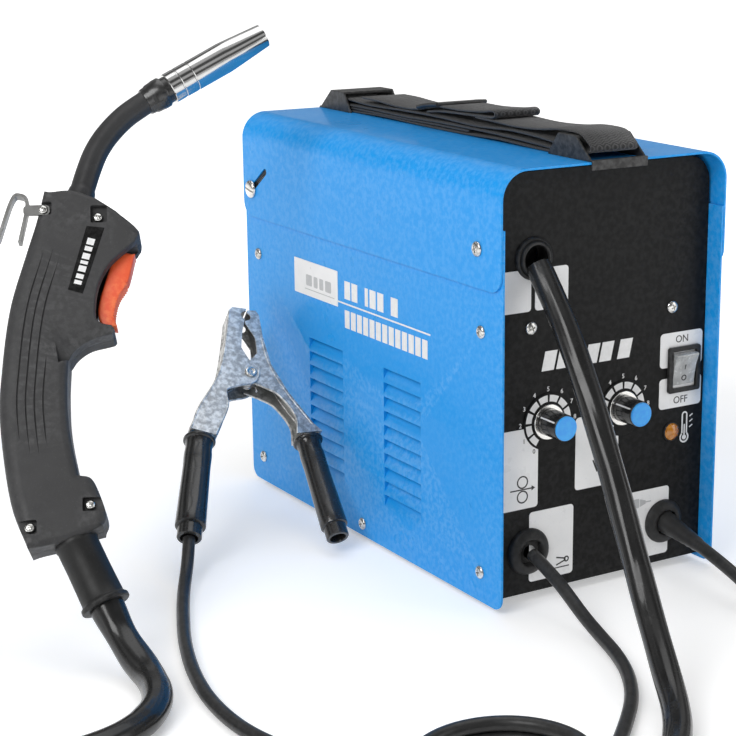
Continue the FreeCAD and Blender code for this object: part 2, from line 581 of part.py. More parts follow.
# ---------------------------------------------------------------- torch
# The torch is drawn flat: u across, v towards the nozzle, w towards its left half.
TORCH_FOOT = V(6.36, 2.86, 0)
TORCH_MOUTH = V(141.9, 364.1, 0)
TORCH_FOOT_AT = V(-350.1, -82.1, 74.0)
TORCH_MOUTH_AT = V(-143.8, 44.6, 374.5)
HANDLE_CHAMFER = 4.5
TRIGGER_HALF = 6.5
BOOT_RADIUS = 13.6
BOOT_FLANGE = 15.9
BOOT_LENGTH = 47.4
NOZZLE_REACH = 97.3
NOZZLE_STRAIGHT = 46.0


def torch_placement():
    """Stands the flat torch on the bend of its hose, with its nozzle beside and above the lid."""
    azimuth = math.radians(size("torch_azimuth"))
    lean = math.radians(size("torch_lean"))
    inward = V(-math.sin(azimuth) * math.cos(lean), math.cos(azimuth) * math.cos(lean), -math.sin(lean))
    chord = (TORCH_MOUTH_AT - TORCH_FOOT_AT).normalize()
    depth = (inward - chord * inward.dot(chord)).normalize()
    across = depth.cross(chord)
    flat = (TORCH_MOUTH - TORCH_FOOT).normalize()
    u_axis = chord * flat.x + across * flat.y
    v_axis = chord * flat.y - across * flat.x
    w_axis = u_axis.cross(v_axis)
    matrix = FreeCAD.Matrix(u_axis.x, v_axis.x, w_axis.x, 0, u_axis.y, v_axis.y, w_axis.y, 0,
                            u_axis.z, v_axis.z, w_axis.z, 0, 0, 0, 0, 1)
    turn = FreeCAD.Placement(matrix)
    turn.Base = TORCH_FOOT_AT - turn.Rotation.multVec(TORCH_FOOT)
    return turn


def spline_edge(points):
    curve = Part.BSplineCurve()
    curve.interpolate([V(u, v, 0) for u, v in points])
    return curve.toShape()


def outline_face(*runs):
    """A face bounded by smooth runs of points, each starting where the last one ends."""
    return Part.Face(Part.Wire([spline_edge(run) for run in runs]))


HANDLE_BACK = ((-21.6, -4.4), (-33, 28.4), (-39.6, 82.4), (-38.2, 118), (-33, 159.5), (-23.2, 195.6), (-9.3, 241.4))
HANDLE_TOP = ((-9.3, 241.4), (8, 242.5), (23.6, 236.6))
HANDLE_SHOULDER = ((23.6, 236.6), (40, 224), (52.2, 211.1), (49.5, 203.0))
HANDLE_RECESS = ((49.5, 203.0), (33, 188), (24.8, 172), (22.5, 153), (25.5, 146), (33, 143.5))
HANDLE_RECESS_MOUTH = ((33, 143.5), (60, 150), (60, 203), (49.5, 203.0))
HANDLE_BRIDGE = ((49.5, 203.0), (33.2, 138.4))
HANDLE_UNDERSIDE = ((33.2, 138.4), (18.1, 134.5), (9.2, 128.3), (4.7, 121.7))
HANDLE_FRONT = ((4.7, 121.7), (3.7, 100), (4.7, 74.3), (10.0, 43.0))
HANDLE_KNUCKLE = ((10.0, 43.0), (18.0, 40.3), (23.2, 29.2), (26.9, 15.2), (24.4, 8))
HANDLE_FOOT = ((24.4, 8), (-21.6, -4.4))
TRIGGER_FRONT = ((48.8, 197.0), (43.8, 177.4), (37.5, 166.3), (34.6, 154.0), (36.0, 145.5))
TRIGGER_TOE = ((36.0, 145.5), (26.0, 147.5))
TRIGGER_BACK = ((26.0, 147.5), (24.0, 160), (31.0, 185))
TRIGGER_HEAD = ((31.0, 185), (37.0, 198.5), (48.8, 197.0))
TRIGGER_ROOM = ((60, 206), (33, 202), (20, 182), (18, 144), (36, 144.0), (60, 170))
NECK_AXIS = V(3.8, 14.3, 0)
NECK_FOOT = V(10.2, 232, 0)
NECK_BEND = V(17.4, 258.95, 0)
NECK_MIDDLE = V(32.66, 290.4, 0)
NECK_TOP = V(58.6, 313.9, 0)
BOOT_AXIS = V(18.64, -43.56, 0)
HANDLE_SCREWS = ((25.3, 221.8), (-10.4, 229.0), (-20.5, 9.5), (17.0, 22.5))
HOOK_PATH = ((-40.0, 208.7), (-31.5, 236.5), (-26.4, 241.0), (-21.0, 234.5), (-26.0, 206.4))


def torch_handle(at):
    """Two halves that meet at w = 0, with a slot for the trigger and pockets for their screws."""
    half = size("torch_half_thickness")
    face = outline_face(HANDLE_BACK, HANDLE_TOP, HANDLE_SHOULDER, HANDLE_BRIDGE, HANDLE_UNDERSIDE, HANDLE_FRONT,
                        HANDLE_KNUCKLE, HANDLE_FOOT)
    shell = face.extrude(V(0, 0, half - 0.02))
    rim = [e for e in shell.Edges if e.BoundBox.ZMin > half - 0.1]
    shell = shell.makeChamfer(HANDLE_CHAMFER, rim)
    mouth = [spline_edge(pair) for pair in zip(HANDLE_RECESS_MOUTH, HANDLE_RECESS_MOUTH[1:])]
    recess = Part.Face(Part.Wire([spline_edge(HANDLE_RECESS)] + mouth)).extrude(V(0, 0, 40))
    slot = prism([(u, v, -0.1) for u, v in TRIGGER_ROOM], TRIGGER_HALF + 0.8, (0, 0, 1))
    socket = Part.makeCylinder(8.4, 30, NECK_FOOT - NECK_AXIS * 0.9, NECK_AXIS)
    foot_socket = Part.makeCylinder(BOOT_RADIUS + 0.15, 30, TORCH_FOOT - BOOT_AXIS * 0.15, BOOT_AXIS)
    shell = shell.cut([recess, slot, socket, foot_socket])
    for u, v in HANDLE_SCREWS:
        shell = shell.cut(Part.makeBox(9, 8, 4.5, V(u - 4.5, v - 4, half - 4.0)))
    shell = max(shell.Solids, key=lambda s: s.Volume)
    mirrored = shell.mirror(V(0, 0, 0), V(0, 0, 1))
    node(feature("torch_handle_left", shell, at), "torch_handle_left")
    node(feature("torch_handle_right", mirrored, at), "torch_handle_right")
    screws = []
    for u, v in HANDLE_SCREWS:
        shank = Part.makeCylinder(1.5, 1.7, V(u, v, half - 3.98))
        screws.append(shank.fuse(Part.makeCylinder(2.8, 1.6, V(u, v, half - 2.4))))
    node(feature("torch_handle_screws", Part.makeCompound(screws), at), "torch_handle_screws")
    return shell, mirrored


def torch_neck(at):
    """A bent neck with its collar, the gas nozzle and the contact tip, all along one axis."""
    axis = (TORCH_MOUTH - NECK_TOP).normalize()
    bend = Part.Arc(NECK_BEND, NECK_MIDDLE, NECK_TOP).toShape()
    line = Part.Wire([Part.LineSegment(NECK_FOOT, NECK_BEND).toShape(), bend])
    ring = Part.Wire(Part.Circle(NECK_FOOT, NECK_BEND - NECK_FOOT, size("neck_radius")).toShape())
    node(feature("torch_neck", line.makePipeShell([ring], True, False), at), "torch_neck")
    foot = NECK_TOP + axis * 0.05
    collar = Part.makeCylinder(11, 15, foot, axis)
    collar = collar.fuse(Part.makeCylinder(9.6, 4, NECK_TOP + axis * 15, axis))
    tip_hole = Part.makeCylinder(4.2, 20, NECK_TOP + axis * 12, axis)
    node(feature("torch_neck_collar", collar.cut(tip_hole), at), "torch_neck_collar")
    base = NECK_TOP + axis * 19.05
    taper_length = NOZZLE_REACH - 19.05 - NOZZLE_STRAIGHT
    straight = Part.makeCylinder(11, NOZZLE_STRAIGHT, base, axis)
    nose = Part.makeCone(11, 8.25, taper_length, base + axis * NOZZLE_STRAIGHT, axis)
    inside = Part.makeCylinder(9.4, NOZZLE_STRAIGHT, base - axis, axis)
    inside = inside.fuse(Part.makeCone(9.4, 6.9, taper_length + 1.5, base + axis * (NOZZLE_STRAIGHT - 1), axis))
    node(feature("gas_nozzle", straight.fuse(nose).cut(inside), at), "gas_nozzle")
    tip = Part.makeCylinder(4, 62, NECK_TOP + axis * 12.1, axis)
    tip = tip.fuse(Part.makeCone(4, 2.4, 12, NECK_TOP + axis * 74.1, axis))
    wire = Part.makeCylinder(0.5, 12, NECK_TOP + axis * 85.8, axis)
    node(feature("contact_tip", tip.fuse(wire), at), "contact_tip")


def torch_hook(at, halves):
    """A strip bent into a hook, held to the handle by a lug under the upper rear screw."""
    low = 5.0
    high = 12.0
    outer = [V(u, v, low) for u, v in HOOK_PATH]
    path, _ = arc_path(outer)
    section = Part.makePolygon([outer[0] + V(1.1, -0.3, 0), outer[0] + V(1.1, -0.3, high - low),
                                outer[0] + V(-1.1, 0.3, high - low), outer[0] + V(-1.1, 0.3, 0),
                                outer[0] + V(1.1, -0.3, 0)])
    strip = path.makePipeShell([section], True, False)
    lug = Part.makeBox(15, 7, 1.4, V(-22.5, 225.5, 11.05))
    lug = lug.cut(Part.makeCylinder(1.7, 10, V(*HANDLE_SCREWS[1], 5)))
    node(feature("torch_hook", strip.fuse(lug).cut(halves), at), "torch_hook")


def torch(at):
    """The torch's pieces; returns where its hose leaves and in which direction."""
    halves = torch_handle(at)
    outline = outline_face(TRIGGER_FRONT, TRIGGER_TOE, TRIGGER_BACK, TRIGGER_HEAD)
    left_half = outline.extrude(V(0, 0, TRIGGER_HALF))
    trigger = left_half.fuse(left_half.mirror(V(0, 0, 0), V(0, 0, 1)))
    node(feature("torch_trigger", trigger.removeSplitter(), at), "torch_trigger")
    torch_hook(at, halves)
    torch_neck(at)
    axis = V(BOOT_AXIS).normalize()
    boot = Part.makeCylinder(BOOT_RADIUS, 49.4, TORCH_FOOT - axis * 6, axis)
    boot = boot.fuse(Part.makeCylinder(BOOT_FLANGE, 4, TORCH_FOOT + axis * (BOOT_LENGTH - 4), axis))
    node(feature("torch_hose_boot", boot, at), "torch_hose_boot")
    return at.multVec(TORCH_FOOT + axis * BOOT_LENGTH), at.Rotation.multVec(axis)


# ---------------------------------------------------------------- earth clamp
# The clamp is drawn flat, with its rivet at the origin; w is across the jaws.
FIXED_ARM = ((-23, 59), (-12, 61), (-11.7, 48), (-11.8, 35.7), (-10.4, 21.4), (-3.2, 12.1), (6, 6), (7, -5),
             (1.8, -10), (-15.4, -21.4), (-12.5, -37.1), (-17.5, -66), (-36.5, -66), (-35.4, -61.4), (-33.2, -45),
             (-25.4, -18.6), (-22.5, 2.9), (-23.2, 32.1), (-22.5, 34.3), (-25.4, 55))
MOVING_ARM = ((-11, 61), (-4.6, 62.9), (-1.1, 59.3), (4.6, 39.3), (14.6, 14.3), (31.1, -7.9), (54.6, -32.1),
              (61.5, -36.5), (43.5, -44.5), (39.6, -28.6), (25.4, -13.6), (13.2, -9.3), (0, -7.5), (-6.5, 0),
              (-4, 8), (2.5, 21.4), (-1.1, 35.7), (-11, 48))
FIXED_GRIP = (V(-27.4, -67.0, 0), V(-21.4, -154.7, 0))
MOVING_GRIP = (V(52.7, -42.4, 0), V(85.8, -123.6, 0))


def clamp_placement():
    """Slopes the clamp with its jaws beside the case and its grips on the floor."""
    turn = FreeCAD.Rotation(V(0, 0, 1), size("clamp_heading"))
    turn = turn.multiply(FreeCAD.Rotation(V(1, 0, 0), size("clamp_slope")))
    turn = turn.multiply(FreeCAD.Rotation(V(0, 0, 1), size("clamp_roll")))
    return FreeCAD.Placement(V(size("clamp_x"), size("clamp_y"), size("clamp_z")), turn)


def clamp_arm(outline, half, wall, web):
    """A channel bent from sheet: two cheeks joined along the outer edge."""
    blank = prism([(u, v, -half) for u, v in outline], 2 * half, (0, 0, 1))
    hollow = prism([(u, v, -half + wall) for u, v in outline], 2 * (half - wall), (0, 0, 1))
    hollow.translate(V(*web))
    rivet_hole = Part.makeCylinder(2.9, 60, V(0, 0, -30))
    star_hole = Part.makeCylinder(4.0, 60, V(-11.4, 54.3, -30))
    return blank.cut([hollow, rivet_hole, star_hole])


def clamp_grip(ends, flange, radius, end_radius, tip_radius):
    """A tapered sleeve with a flange at the jaws' end and a thin ferrule at the other."""
    start, end = ends
    axis = (end - start).normalize()
    length = (end - start).Length
    grip = Part.makeCylinder(flange, 3, start, axis)
    grip = grip.fuse(Part.makeCone(radius, end_radius, length - 10, start + axis * 2.9, axis))
    grip = grip.fuse(Part.makeCylinder(tip_radius, 10, start + axis * (length - 10), axis))
    return grip


def clamp(at):
    width = size("clamp_width") / 2
    fixed = clamp_arm(FIXED_ARM, width, 1.2, (1.5, 0, 0))
    moving = clamp_arm(MOVING_ARM, width - 1.6, 1.2, (-1.1, -1.0, 0))
    jaw_gap = Part.makeBox(0.6, 30, 40, V(-11.8, 45, -20))
    node(feature("clamp_fixed_arm", max(fixed.cut(jaw_gap).Solids, key=lambda s: s.Volume), at), "clamp_fixed_arm")
    node(feature("clamp_moving_arm", max(moving.Solids, key=lambda s: s.Volume), at), "clamp_moving_arm")
    node(feature("clamp_fixed_grip", clamp_grip(FIXED_GRIP, 12.0, 10.0, 11.5, 9.0), at), "clamp_fixed_grip")
    node(feature("clamp_moving_grip", clamp_grip(MOVING_GRIP, 11.5, 9.0, 10.5, 8.5), at), "clamp_moving_grip")
    rivet = Part.makeCylinder(2.5, 2 * width, V(0, 0, -width))
    for start in (width + 0.05, -width - 1.65):
        rivet = rivet.fuse(Part.makeCylinder(4.65, 1.6, V(0, 0, start)))
    pin = Part.makeCylinder(2.5, 2 * width + 2, V(0, 0, -width - 1))
    node(feature("clamp_rivet", rivet.fuse(pin), at), "clamp_rivet")
    coil = Part.makeCylinder(6.6, 11, V(0, 0, -5.5)).cut(Part.makeCylinder(4.4, 12, V(0, 0, -6)))
    leg = Part.makeCylinder(1.0, 20, V(-5.0, -3.0, -4.4), V(-0.62, -0.78, 0))
    other_leg = Part.makeCylinder(1.0, 9, V(4.5, -4.5, 4.4), V(0.35, -0.94, 0))
    node(feature("clamp_spring", coil.fuse([leg, other_leg]), at), "clamp_spring")
    end = at.multVec(FIXED_GRIP[1])
    axis = at.Rotation.multVec((FIXED_GRIP[1] - FIXED_GRIP[0]).normalize())
    return end, axis


# ---------------------------------------------------------------- cords
HOSE_COIL = (-440.0, -345.0)
GROUND_COIL = (-235.0, -397.0)
MAINS_COIL = (172.0, -292.0)

TORCH_HOSE = ((-58.5, -176, 236), (-59, -198, 214.5), (-60.5, -227, 178), (-63, -256, 137), (-68, -286, 94.5),
              (-76, -318, 55), (-88, -354, 24), (-108, -393, 10.5), (-140, -428, 9), (-180, -455, 9),
              (-222, -470, 9), (-262, -472, 9), (-300, -464, 10), (-338, -450, 17), (-380, -435, 28),
              (-420, -425.5, 28), (-465.5, -415, 12))
TORCH_HOSE_TAIL = ((-341.8, -120.4, 29.4), (-340.2, -130, 21.2), (-338.9, -142, 14.6), (-338.4, -156, 10.6),
                   (-339.6, -171, 9.1), (-344, -189, 9), (-353, -208, 9), (-371, -227, 9), (-396, -239.5, 9),
                   (-428, -243.5, 9))
GROUND_CABLE = ((-61, -176, 36.5), (-61, -195, 30.5), (-61, -214, 22.6), (-61.5, -235, 12), (-64, -258, 5.8),
                (-71, -284, 4.6), (-84, -314, 4.5), (-104, -344, 4.5), (-130, -371, 4.5), (-158, -397, 4.5),
                (-184, -425, 4.5), (-210, -442.5, 4.5), (-235, -447, 4.6))
GROUND_CABLE_TAIL = ((-240, -7.5, 15.9), (-249.6, -23.6, 9.2), (-262, -46.5, 5.6), (-277, -79, 4.6),
                     (-294, -118, 4.5), (-310, -165, 4.5), (-320, -212, 4.5), (-321, -258, 4.5),
                     (-312, -302, 6), (-299, -342, 12), (-289, -374, 20), (-285, -397, 25.5))
MAINS_CABLE = ((56.5, -176, 36.8), (56.5, -198, 33.2), (56.6, -222, 28.4), (57, -247, 21.8), (58, -270, 13.4),
               (60.5, -292, 6.9), (68, -312, 4.7), (82, -328, 4.5), (101, -338.5, 4.5), (123, -342.5, 4.5),
               (147, -341.5, 4.5), (172, -336, 4.6))


def arc_path(points):
    """Straight runs joined by tangent arcs; returns the wire and the arcs' radii."""
    edges = []
    radii = []
    last = points[0]
    for before, corner, after in zip(points, points[1:], points[2:]):
        back = before - corner
        ahead = after - corner
        turn = math.pi - back.getAngle(ahead)
        trim = 0.45 * min(back.Length, ahead.Length)
        start = corner + back.normalize() * trim
        end = corner + ahead.normalize() * trim
        radius = trim / math.tan(turn / 2)
        middle_way = (start + end) * 0.5 - corner
        centre_distance = trim / math.sin(turn / 2)
        middle = corner + middle_way.normalize() * (centre_distance - radius)
        edges.append(Part.LineSegment(last, start).toShape())
        edges.append(Part.Arc(start, middle, end).toShape())
        radii.append(radius)
        last = end
    edges.append(Part.LineSegment(last, points[-1]).toShape())
    return Part.Wire(edges), radii


def tube(name, points, diameter):
    """A round tube along a route; prints its radii and its volume against section x length."""
    path, radii = arc_path([V(*p) for p in points])
    ring = Part.Wire(Part.Circle(V(*points[0]), path.Edges[0].tangentAt(path.Edges[0].FirstParameter),
                                 diameter / 2).toShape())
    solid = path.makePipeShell([ring], True, False)
    expected = math.pi * diameter ** 2 / 4 * path.Length
    print(f"{name}: length {path.Length:.0f}, radii {min(radii):.0f} to {max(radii):.0f}, "
          f"volume ratio {solid.Volume / expected:.4f}")
    print("  radii", " ".join(f"{radius:.0f}" for radius in radii))
    node(feature(name, solid), name)


def coil(name, centre, inner, outer, height):
    """The outer shape of a coil lying on the floor."""
    ring = rod(name + "_outer", outer, height, (centre[0], centre[1], 0))
    eye = rod(name + "_eye", inner, height + 2, (centre[0], centre[1], -1))
    node(cut(name, ring, eye), name)


def mains_plug():
    """An earthed plug lying on the floor at the end of the mains cable."""
    z = 19.0
    start = MAINS_COIL[0] + 30
    y = MAINS_COIL[1] - 44
    relief = taper("plug_relief", 6, 9, 16, (start, y, z), "x")
    body = rod("plug_body", 14, 26, (start + 15.9, y, z), "x")
    face = rod("plug_face", 19, 17, (start + 41.8, y, z), "x")
    pins = [rod("plug_pin", 2.4, 19.5, (start + 58, y + offset, z), "x") for offset in (-9.5, 9.5)]
    node(fuse("mains_plug", relief, body, face, *pins), "mains_plug")


def cords(boot_end, clamp_end):
    hose = size("hose_size")
    cable = size("cable_size")
    tube("torch_hose", TORCH_HOSE, hose)
    tube("torch_hose_tail", (tuple(boot_end),) + TORCH_HOSE_TAIL, hose)
    tube("ground_cable", GROUND_CABLE, cable)
    tube("ground_cable_tail", (tuple(clamp_end),) + GROUND_CABLE_TAIL, cable)
    tube("mains_cable", MAINS_CABLE, cable)
    coil("torch_hose_coil", HOSE_COIL, 64, 112, 20)
    coil("ground_cable_coil", GROUND_COIL, 42, 58, 31)
    coil("mains_cable_coil", MAINS_COIL, 38.5, 60, 38)
    mains_plug()


# ---------------------------------------------------------------- build
base_pan()
front_panel()
rear_panel()
side_panel("left_side_panel", -1)
side_panel("right_side_panel", 1)
lid()
screws()
rubber_feet()
latch_screw("latch_screw_left", -1)
latch_screw("latch_screw_right", 1)
strap_brackets()
carry_strap()
panel_labels()
fittings()
power_switch()
knob("knob_left", "dims.dial_left")
knob("knob_right", "dims.dial_right")
control_board()
wire_bay()
power_pack()
fan()
torch_end, torch_exit = torch(torch_placement())
clamp_end, clamp_exit = clamp(clamp_placement())
print("torch hose leaves at", torch_end, "towards", torch_exit)
print("ground cable leaves at", clamp_end, "towards", clamp_exit)
cords(torch_end, clamp_end)
doc.recompute()

problems = [item.Name for item in doc.Objects if {"Invalid", "Error"} & set(item.State)]
problems += [item.Label for item in NODES if item.Shape.isNull() or not item.Shape.isValid()]
if problems:
    raise RuntimeError("failed objects: " + ", ".join(problems))

os.makedirs("parts", exist_ok=True)
for item in NODES:
    item.Shape.exportStep(os.path.join("parts", item.Label + ".step"))
print(len(NODES), "pieces written")
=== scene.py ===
"""Wire-feed welding machine with its torch, earth clamp and cables: the looks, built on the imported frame."""
import json
import math

import bmesh
import bpy
from mathutils import Matrix, Vector


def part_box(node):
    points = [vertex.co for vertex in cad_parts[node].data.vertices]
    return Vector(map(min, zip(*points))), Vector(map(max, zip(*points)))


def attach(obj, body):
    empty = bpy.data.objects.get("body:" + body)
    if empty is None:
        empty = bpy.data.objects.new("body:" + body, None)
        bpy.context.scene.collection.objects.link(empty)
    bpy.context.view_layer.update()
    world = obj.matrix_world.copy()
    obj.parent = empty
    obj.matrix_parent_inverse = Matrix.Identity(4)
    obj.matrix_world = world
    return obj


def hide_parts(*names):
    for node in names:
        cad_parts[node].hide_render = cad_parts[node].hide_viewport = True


MM = 0.001
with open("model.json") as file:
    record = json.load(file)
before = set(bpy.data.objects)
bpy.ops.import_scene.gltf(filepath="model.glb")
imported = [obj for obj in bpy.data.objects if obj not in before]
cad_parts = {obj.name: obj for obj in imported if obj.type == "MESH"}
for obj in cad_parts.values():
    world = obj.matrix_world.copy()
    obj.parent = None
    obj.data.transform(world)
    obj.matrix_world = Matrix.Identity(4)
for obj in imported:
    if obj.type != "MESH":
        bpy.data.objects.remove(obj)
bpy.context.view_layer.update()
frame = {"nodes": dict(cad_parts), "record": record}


# ---------------------------------------------------------------- finishes
FINISHES = {}


def rgb(colour, factor=1.0, lift=0.0):
    """A colour scaled and lifted; a single number is a grey."""
    return tuple(min(1, factor * c + lift) for c in ((colour,) * 3 if isinstance(colour, float) else colour))


class Finish:
    """A procedural material under construction, in the object's own coordinates."""

    def __init__(self, name, colour, roughness=0.5, metallic=0.0):
        material = FINISHES[name] = bpy.data.materials.new(name)
        material.use_nodes = True
        self.tree = material.node_tree
        self.shader = self.tree.nodes["Principled BSDF"]
        self.set(Base_Color=(*rgb(colour), 1), Roughness=roughness, Metallic=metallic)
        self.place = self.tree.nodes.new("ShaderNodeTexCoord").outputs["Object"]
        self.colour = None
        self.normal = None

    def set(self, **values):
        for key, value in values.items():
            self.shader.inputs[key.replace("_", " ")].default_value = value

    def add(self, kind, links=None, values=None, **settings):
        """A node with its settings, its linked inputs and its plain inputs."""
        node = self.tree.nodes.new(kind)
        for key, value in settings.items():
            setattr(node, key, value)
        for key, value in (values or {}).items():
            node.inputs[key].default_value = value
        for key, source in (links or {}).items():
            self.tree.links.new(source, node.inputs[key])
        return node

    def noise(self, scale, detail=3.0, stretch=(1, 1, 1), roughness=0.55):
        stretched = self.add("ShaderNodeMapping", {"Vector": self.place}, {"Scale": stretch})
        field = self.add("ShaderNodeTexNoise", {"Vector": stretched.outputs["Vector"]},
                         {"Scale": scale, "Detail": detail, "Roughness": roughness})
        return field.outputs["Fac"]

    def spread(self, source, low, high, start=0.3, end=0.7):
        """Maps the middle of a noise onto a range."""
        ranged = self.add("ShaderNodeMapRange", {"Value": source},
                          {"From Min": start, "From Max": end, "To Min": low, "To Max": high})
        return ranged.outputs["Result"]

    def tint(self, amount, colour):
        """Mixes another colour into the base colour."""
        mix = self.add("ShaderNodeMix", {"Factor": amount}, data_type="RGBA")
        base = self.shader.inputs["Base Color"]
        if self.colour is None:
            mix.inputs["A"].default_value = base.default_value
        else:
            self.tree.links.new(self.colour, mix.inputs["A"])
        mix.inputs["B"].default_value = (*rgb(colour), 1)
        self.colour = mix.outputs["Result"]
        self.tree.links.new(self.colour, base)

    def mottle(self, colour, most, start, end, *noise):
        """Clouds of another colour, up to a share of it."""
        self.tint(self.spread(self.noise(*noise), 0.0, most, start, end), colour)

    def wear(self, colour, most):
        """Another colour on the convex edges."""
        self.tint(self.math("MULTIPLY", self.edges(), most), colour)

    def gloss(self, low, high, *noise):
        """Roughness that wanders between two values."""
        self.tree.links.new(self.spread(self.noise(*noise), low, high), self.shader.inputs["Roughness"])

    def relief(self, height, strength, depth):
        """Raises the surface by a height field; depth is in millimetres."""
        bump = self.add("ShaderNodeBump", {"Height": height}, {"Strength": strength, "Distance": depth * MM})
        if self.normal is not None:
            self.tree.links.new(self.normal, bump.inputs["Normal"])
        self.normal = bump.outputs["Normal"]
        self.tree.links.new(self.normal, self.shader.inputs["Normal"])

    def grain(self, strength, depth, *noise):
        """Relief from a noise."""
        self.relief(self.noise(*noise), strength, depth)

    def math(self, operation, *operands):
        node = self.add("ShaderNodeMath", operation=operation)
        for index, operand in enumerate(operands):
            if isinstance(operand, (int, float)):
                node.inputs[index].default_value = operand
            else:
                self.tree.links.new(operand, node.inputs[index])
        return node.outputs["Value"]

    def along(self, axis, period):
        """The coordinate along an axis, counted in periods of so many millimetres."""
        axes = self.add("ShaderNodeSeparateXYZ", {"Vector": self.place})
        return self.math("MULTIPLY", axes.outputs[axis], 1 / (period * MM))

    def edges(self, low=0.505, high=0.56):
        """Bright where the surface is a convex edge, broken up by noise."""
        sharp = self.add("ShaderNodeNewGeometry").outputs["Pointiness"]
        worn = self.spread(sharp, 0.0, 1.0, low, high)
        return self.math("MULTIPLY", worn, self.spread(self.noise(260, 4), 0.0, 1.0, 0.4, 0.62))


def blue_paint():
    """Smooth baked enamel with a faint orange peel and a little dust."""
    finish = Finish("blue_paint", (0.006, 0.300, 0.780), 0.30)
    finish.mottle((0.016, 0.285, 0.720), 0.4, 0.3, 0.7, 4, 2)
    finish.mottle((0.5, 0.62, 0.75), 0.04, 0.55, 0.75, 900, 2)
    finish.wear((0.25, 0.52, 0.86), 0.25)
    finish.gloss(0.27, 0.33, 30, 3)
    finish.grain(0.035, 0.2, 420, 2)
    finish.set(Specular_IOR_Level=0.14, Coat_Weight=0.09, Coat_Roughness=0.06)


def powder_coat(name, colour, light, relief, roughness, reflection):
    """Fine-textured stoved paint on sheet metal."""
    finish = Finish(name, colour, roughness[0])
    finish.mottle(light, 0.4, 0.3, 0.7, 14, 3)
    finish.mottle(rgb(light, 2.4), 0.16, 0.55, 0.8, 1500, 2)
    finish.wear(rgb(light, 6), 0.3)
    finish.gloss(*roughness, 70, 5)
    finish.grain(relief, 0.25, 1400, 3)
    finish.set(Specular_IOR_Level=reflection)


def moulded(name, colour, light, roughness=(0.42, 0.56), grain=1500, relief=0.22, coat=0.0, reflection=0.5):
    """Moulded plastic or rubber: a fine spark-eroded grain, handled edges and a little dust."""
    finish = Finish(name, colour, roughness[0])
    finish.mottle(light, 0.8, 0.3, 0.7, 30, 4)
    finish.mottle(rgb(light, 4, 0.02), 0.14, 0.6, 0.8, 700, 4)
    finish.wear(rgb(light, 3, 0.02), 0.30)
    finish.gloss(*roughness, 90, 5)
    finish.grain(relief, 0.2, grain, 3)
    finish.set(Specular_IOR_Level=reflection, Coat_Weight=coat, Coat_Roughness=0.12)


def plated(name, colour, dark, roughness=(0.16, 0.34), scale=240, relief=0.08):
    """Bright plated steel with fine scratches and a little tarnish in the low spots."""
    finish = Finish(name, colour, roughness[0], 1.0)
    finish.mottle(dark, 0.7, 0.3, 0.7, scale, 5)
    finish.gloss(*roughness, scale * 0.7, 6)
    finish.grain(relief, 0.15, 900, 2, (1, 6, 1))


def galvanised():
    """Hot-dipped zinc: a speckled spangle with darker pits."""
    finish = Finish("clamp_zinc", (0.46, 0.46, 0.45), 0.42, 0.85)
    cells = finish.add("ShaderNodeTexVoronoi", {"Vector": finish.place}, {"Scale": 900.0, "Randomness": 1.0})
    finish.tint(finish.spread(cells.outputs["Color"], 0.0, 0.35, 0.1, 0.9), (0.30, 0.30, 0.295))
    finish.mottle((0.20, 0.20, 0.198), 0.45, 0.50, 0.70, 1900, 6, (1, 1, 1), 0.7)
    finish.tint(finish.edges(0.502, 0.53), (0.80, 0.80, 0.78))
    finish.gloss(0.34, 0.55, 500, 5)
    finish.grain(0.28, 0.25, 1100, 5)


def rolled_steel():
    """Zinc-plated sheet with the rolling direction showing."""
    finish = Finish("grey_sheet", (0.42, 0.43, 0.44), 0.4, 0.9)
    finish.mottle((0.24, 0.25, 0.26), 0.8, 0.3, 0.7, 60, 5, (1, 14, 1))
    finish.gloss(0.28, 0.5, 180, 4, (1, 16, 1))
    finish.grain(0.12, 0.2, 500, 3, (1, 20, 1))


def printed_plate():
    """A white plate with a satin lacquer, a little yellowed and scuffed."""
    finish = Finish("printed_plate", 0.80, 0.32)
    finish.mottle((0.66, 0.67, 0.68), 0.5, 0.4, 0.75, 45, 5)
    finish.mottle((0.45, 0.46, 0.47), 0.35, 0.62, 0.8, 800, 4)
    finish.gloss(0.25, 0.42, 120, 4)
    finish.grain(0.05, 0.2, 700, 2)


def ink(name, colour):
    """Screen-printed ink, slightly uneven."""
    finish = Finish(name, colour, 0.35)
    finish.mottle(rgb(colour, 0.78, 0.01), 0.5, 0.3, 0.7, 300, 4)
    finish.gloss(0.28, 0.45, 200, 3)
    finish.grain(0.06, 0.1, 900, 2)


def webbing():
    """Woven strap: a herringbone of fine ribs, darker between them, with fuzz along it."""
    finish = Finish("webbing", (0.018, 0.018, 0.019), 0.8)
    fold = finish.math("PINGPONG", finish.along("X", 3.2), 1.0)
    rib = finish.math("PINGPONG", finish.math("ADD", finish.along("Y", 1.6), fold), 0.5)
    cross = finish.math("PINGPONG", finish.along("X", 0.8), 0.5)
    weave = finish.math("ADD", rib, finish.math("MULTIPLY", cross, 0.4))
    finish.tint(finish.spread(weave, 0.0, 1.0, 0.25, 0.65), (0.075, 0.075, 0.077))
    finish.mottle(0.13, 0.5, 0.55, 0.75, 1500, 4)
    finish.gloss(0.62, 0.85, 200, 3)
    finish.relief(weave, 0.9, 0.5)
    finish.grain(0.3, 0.2, 1800, 3)
    finish.set(Sheen_Weight=0.25, Specular_IOR_Level=0.12)


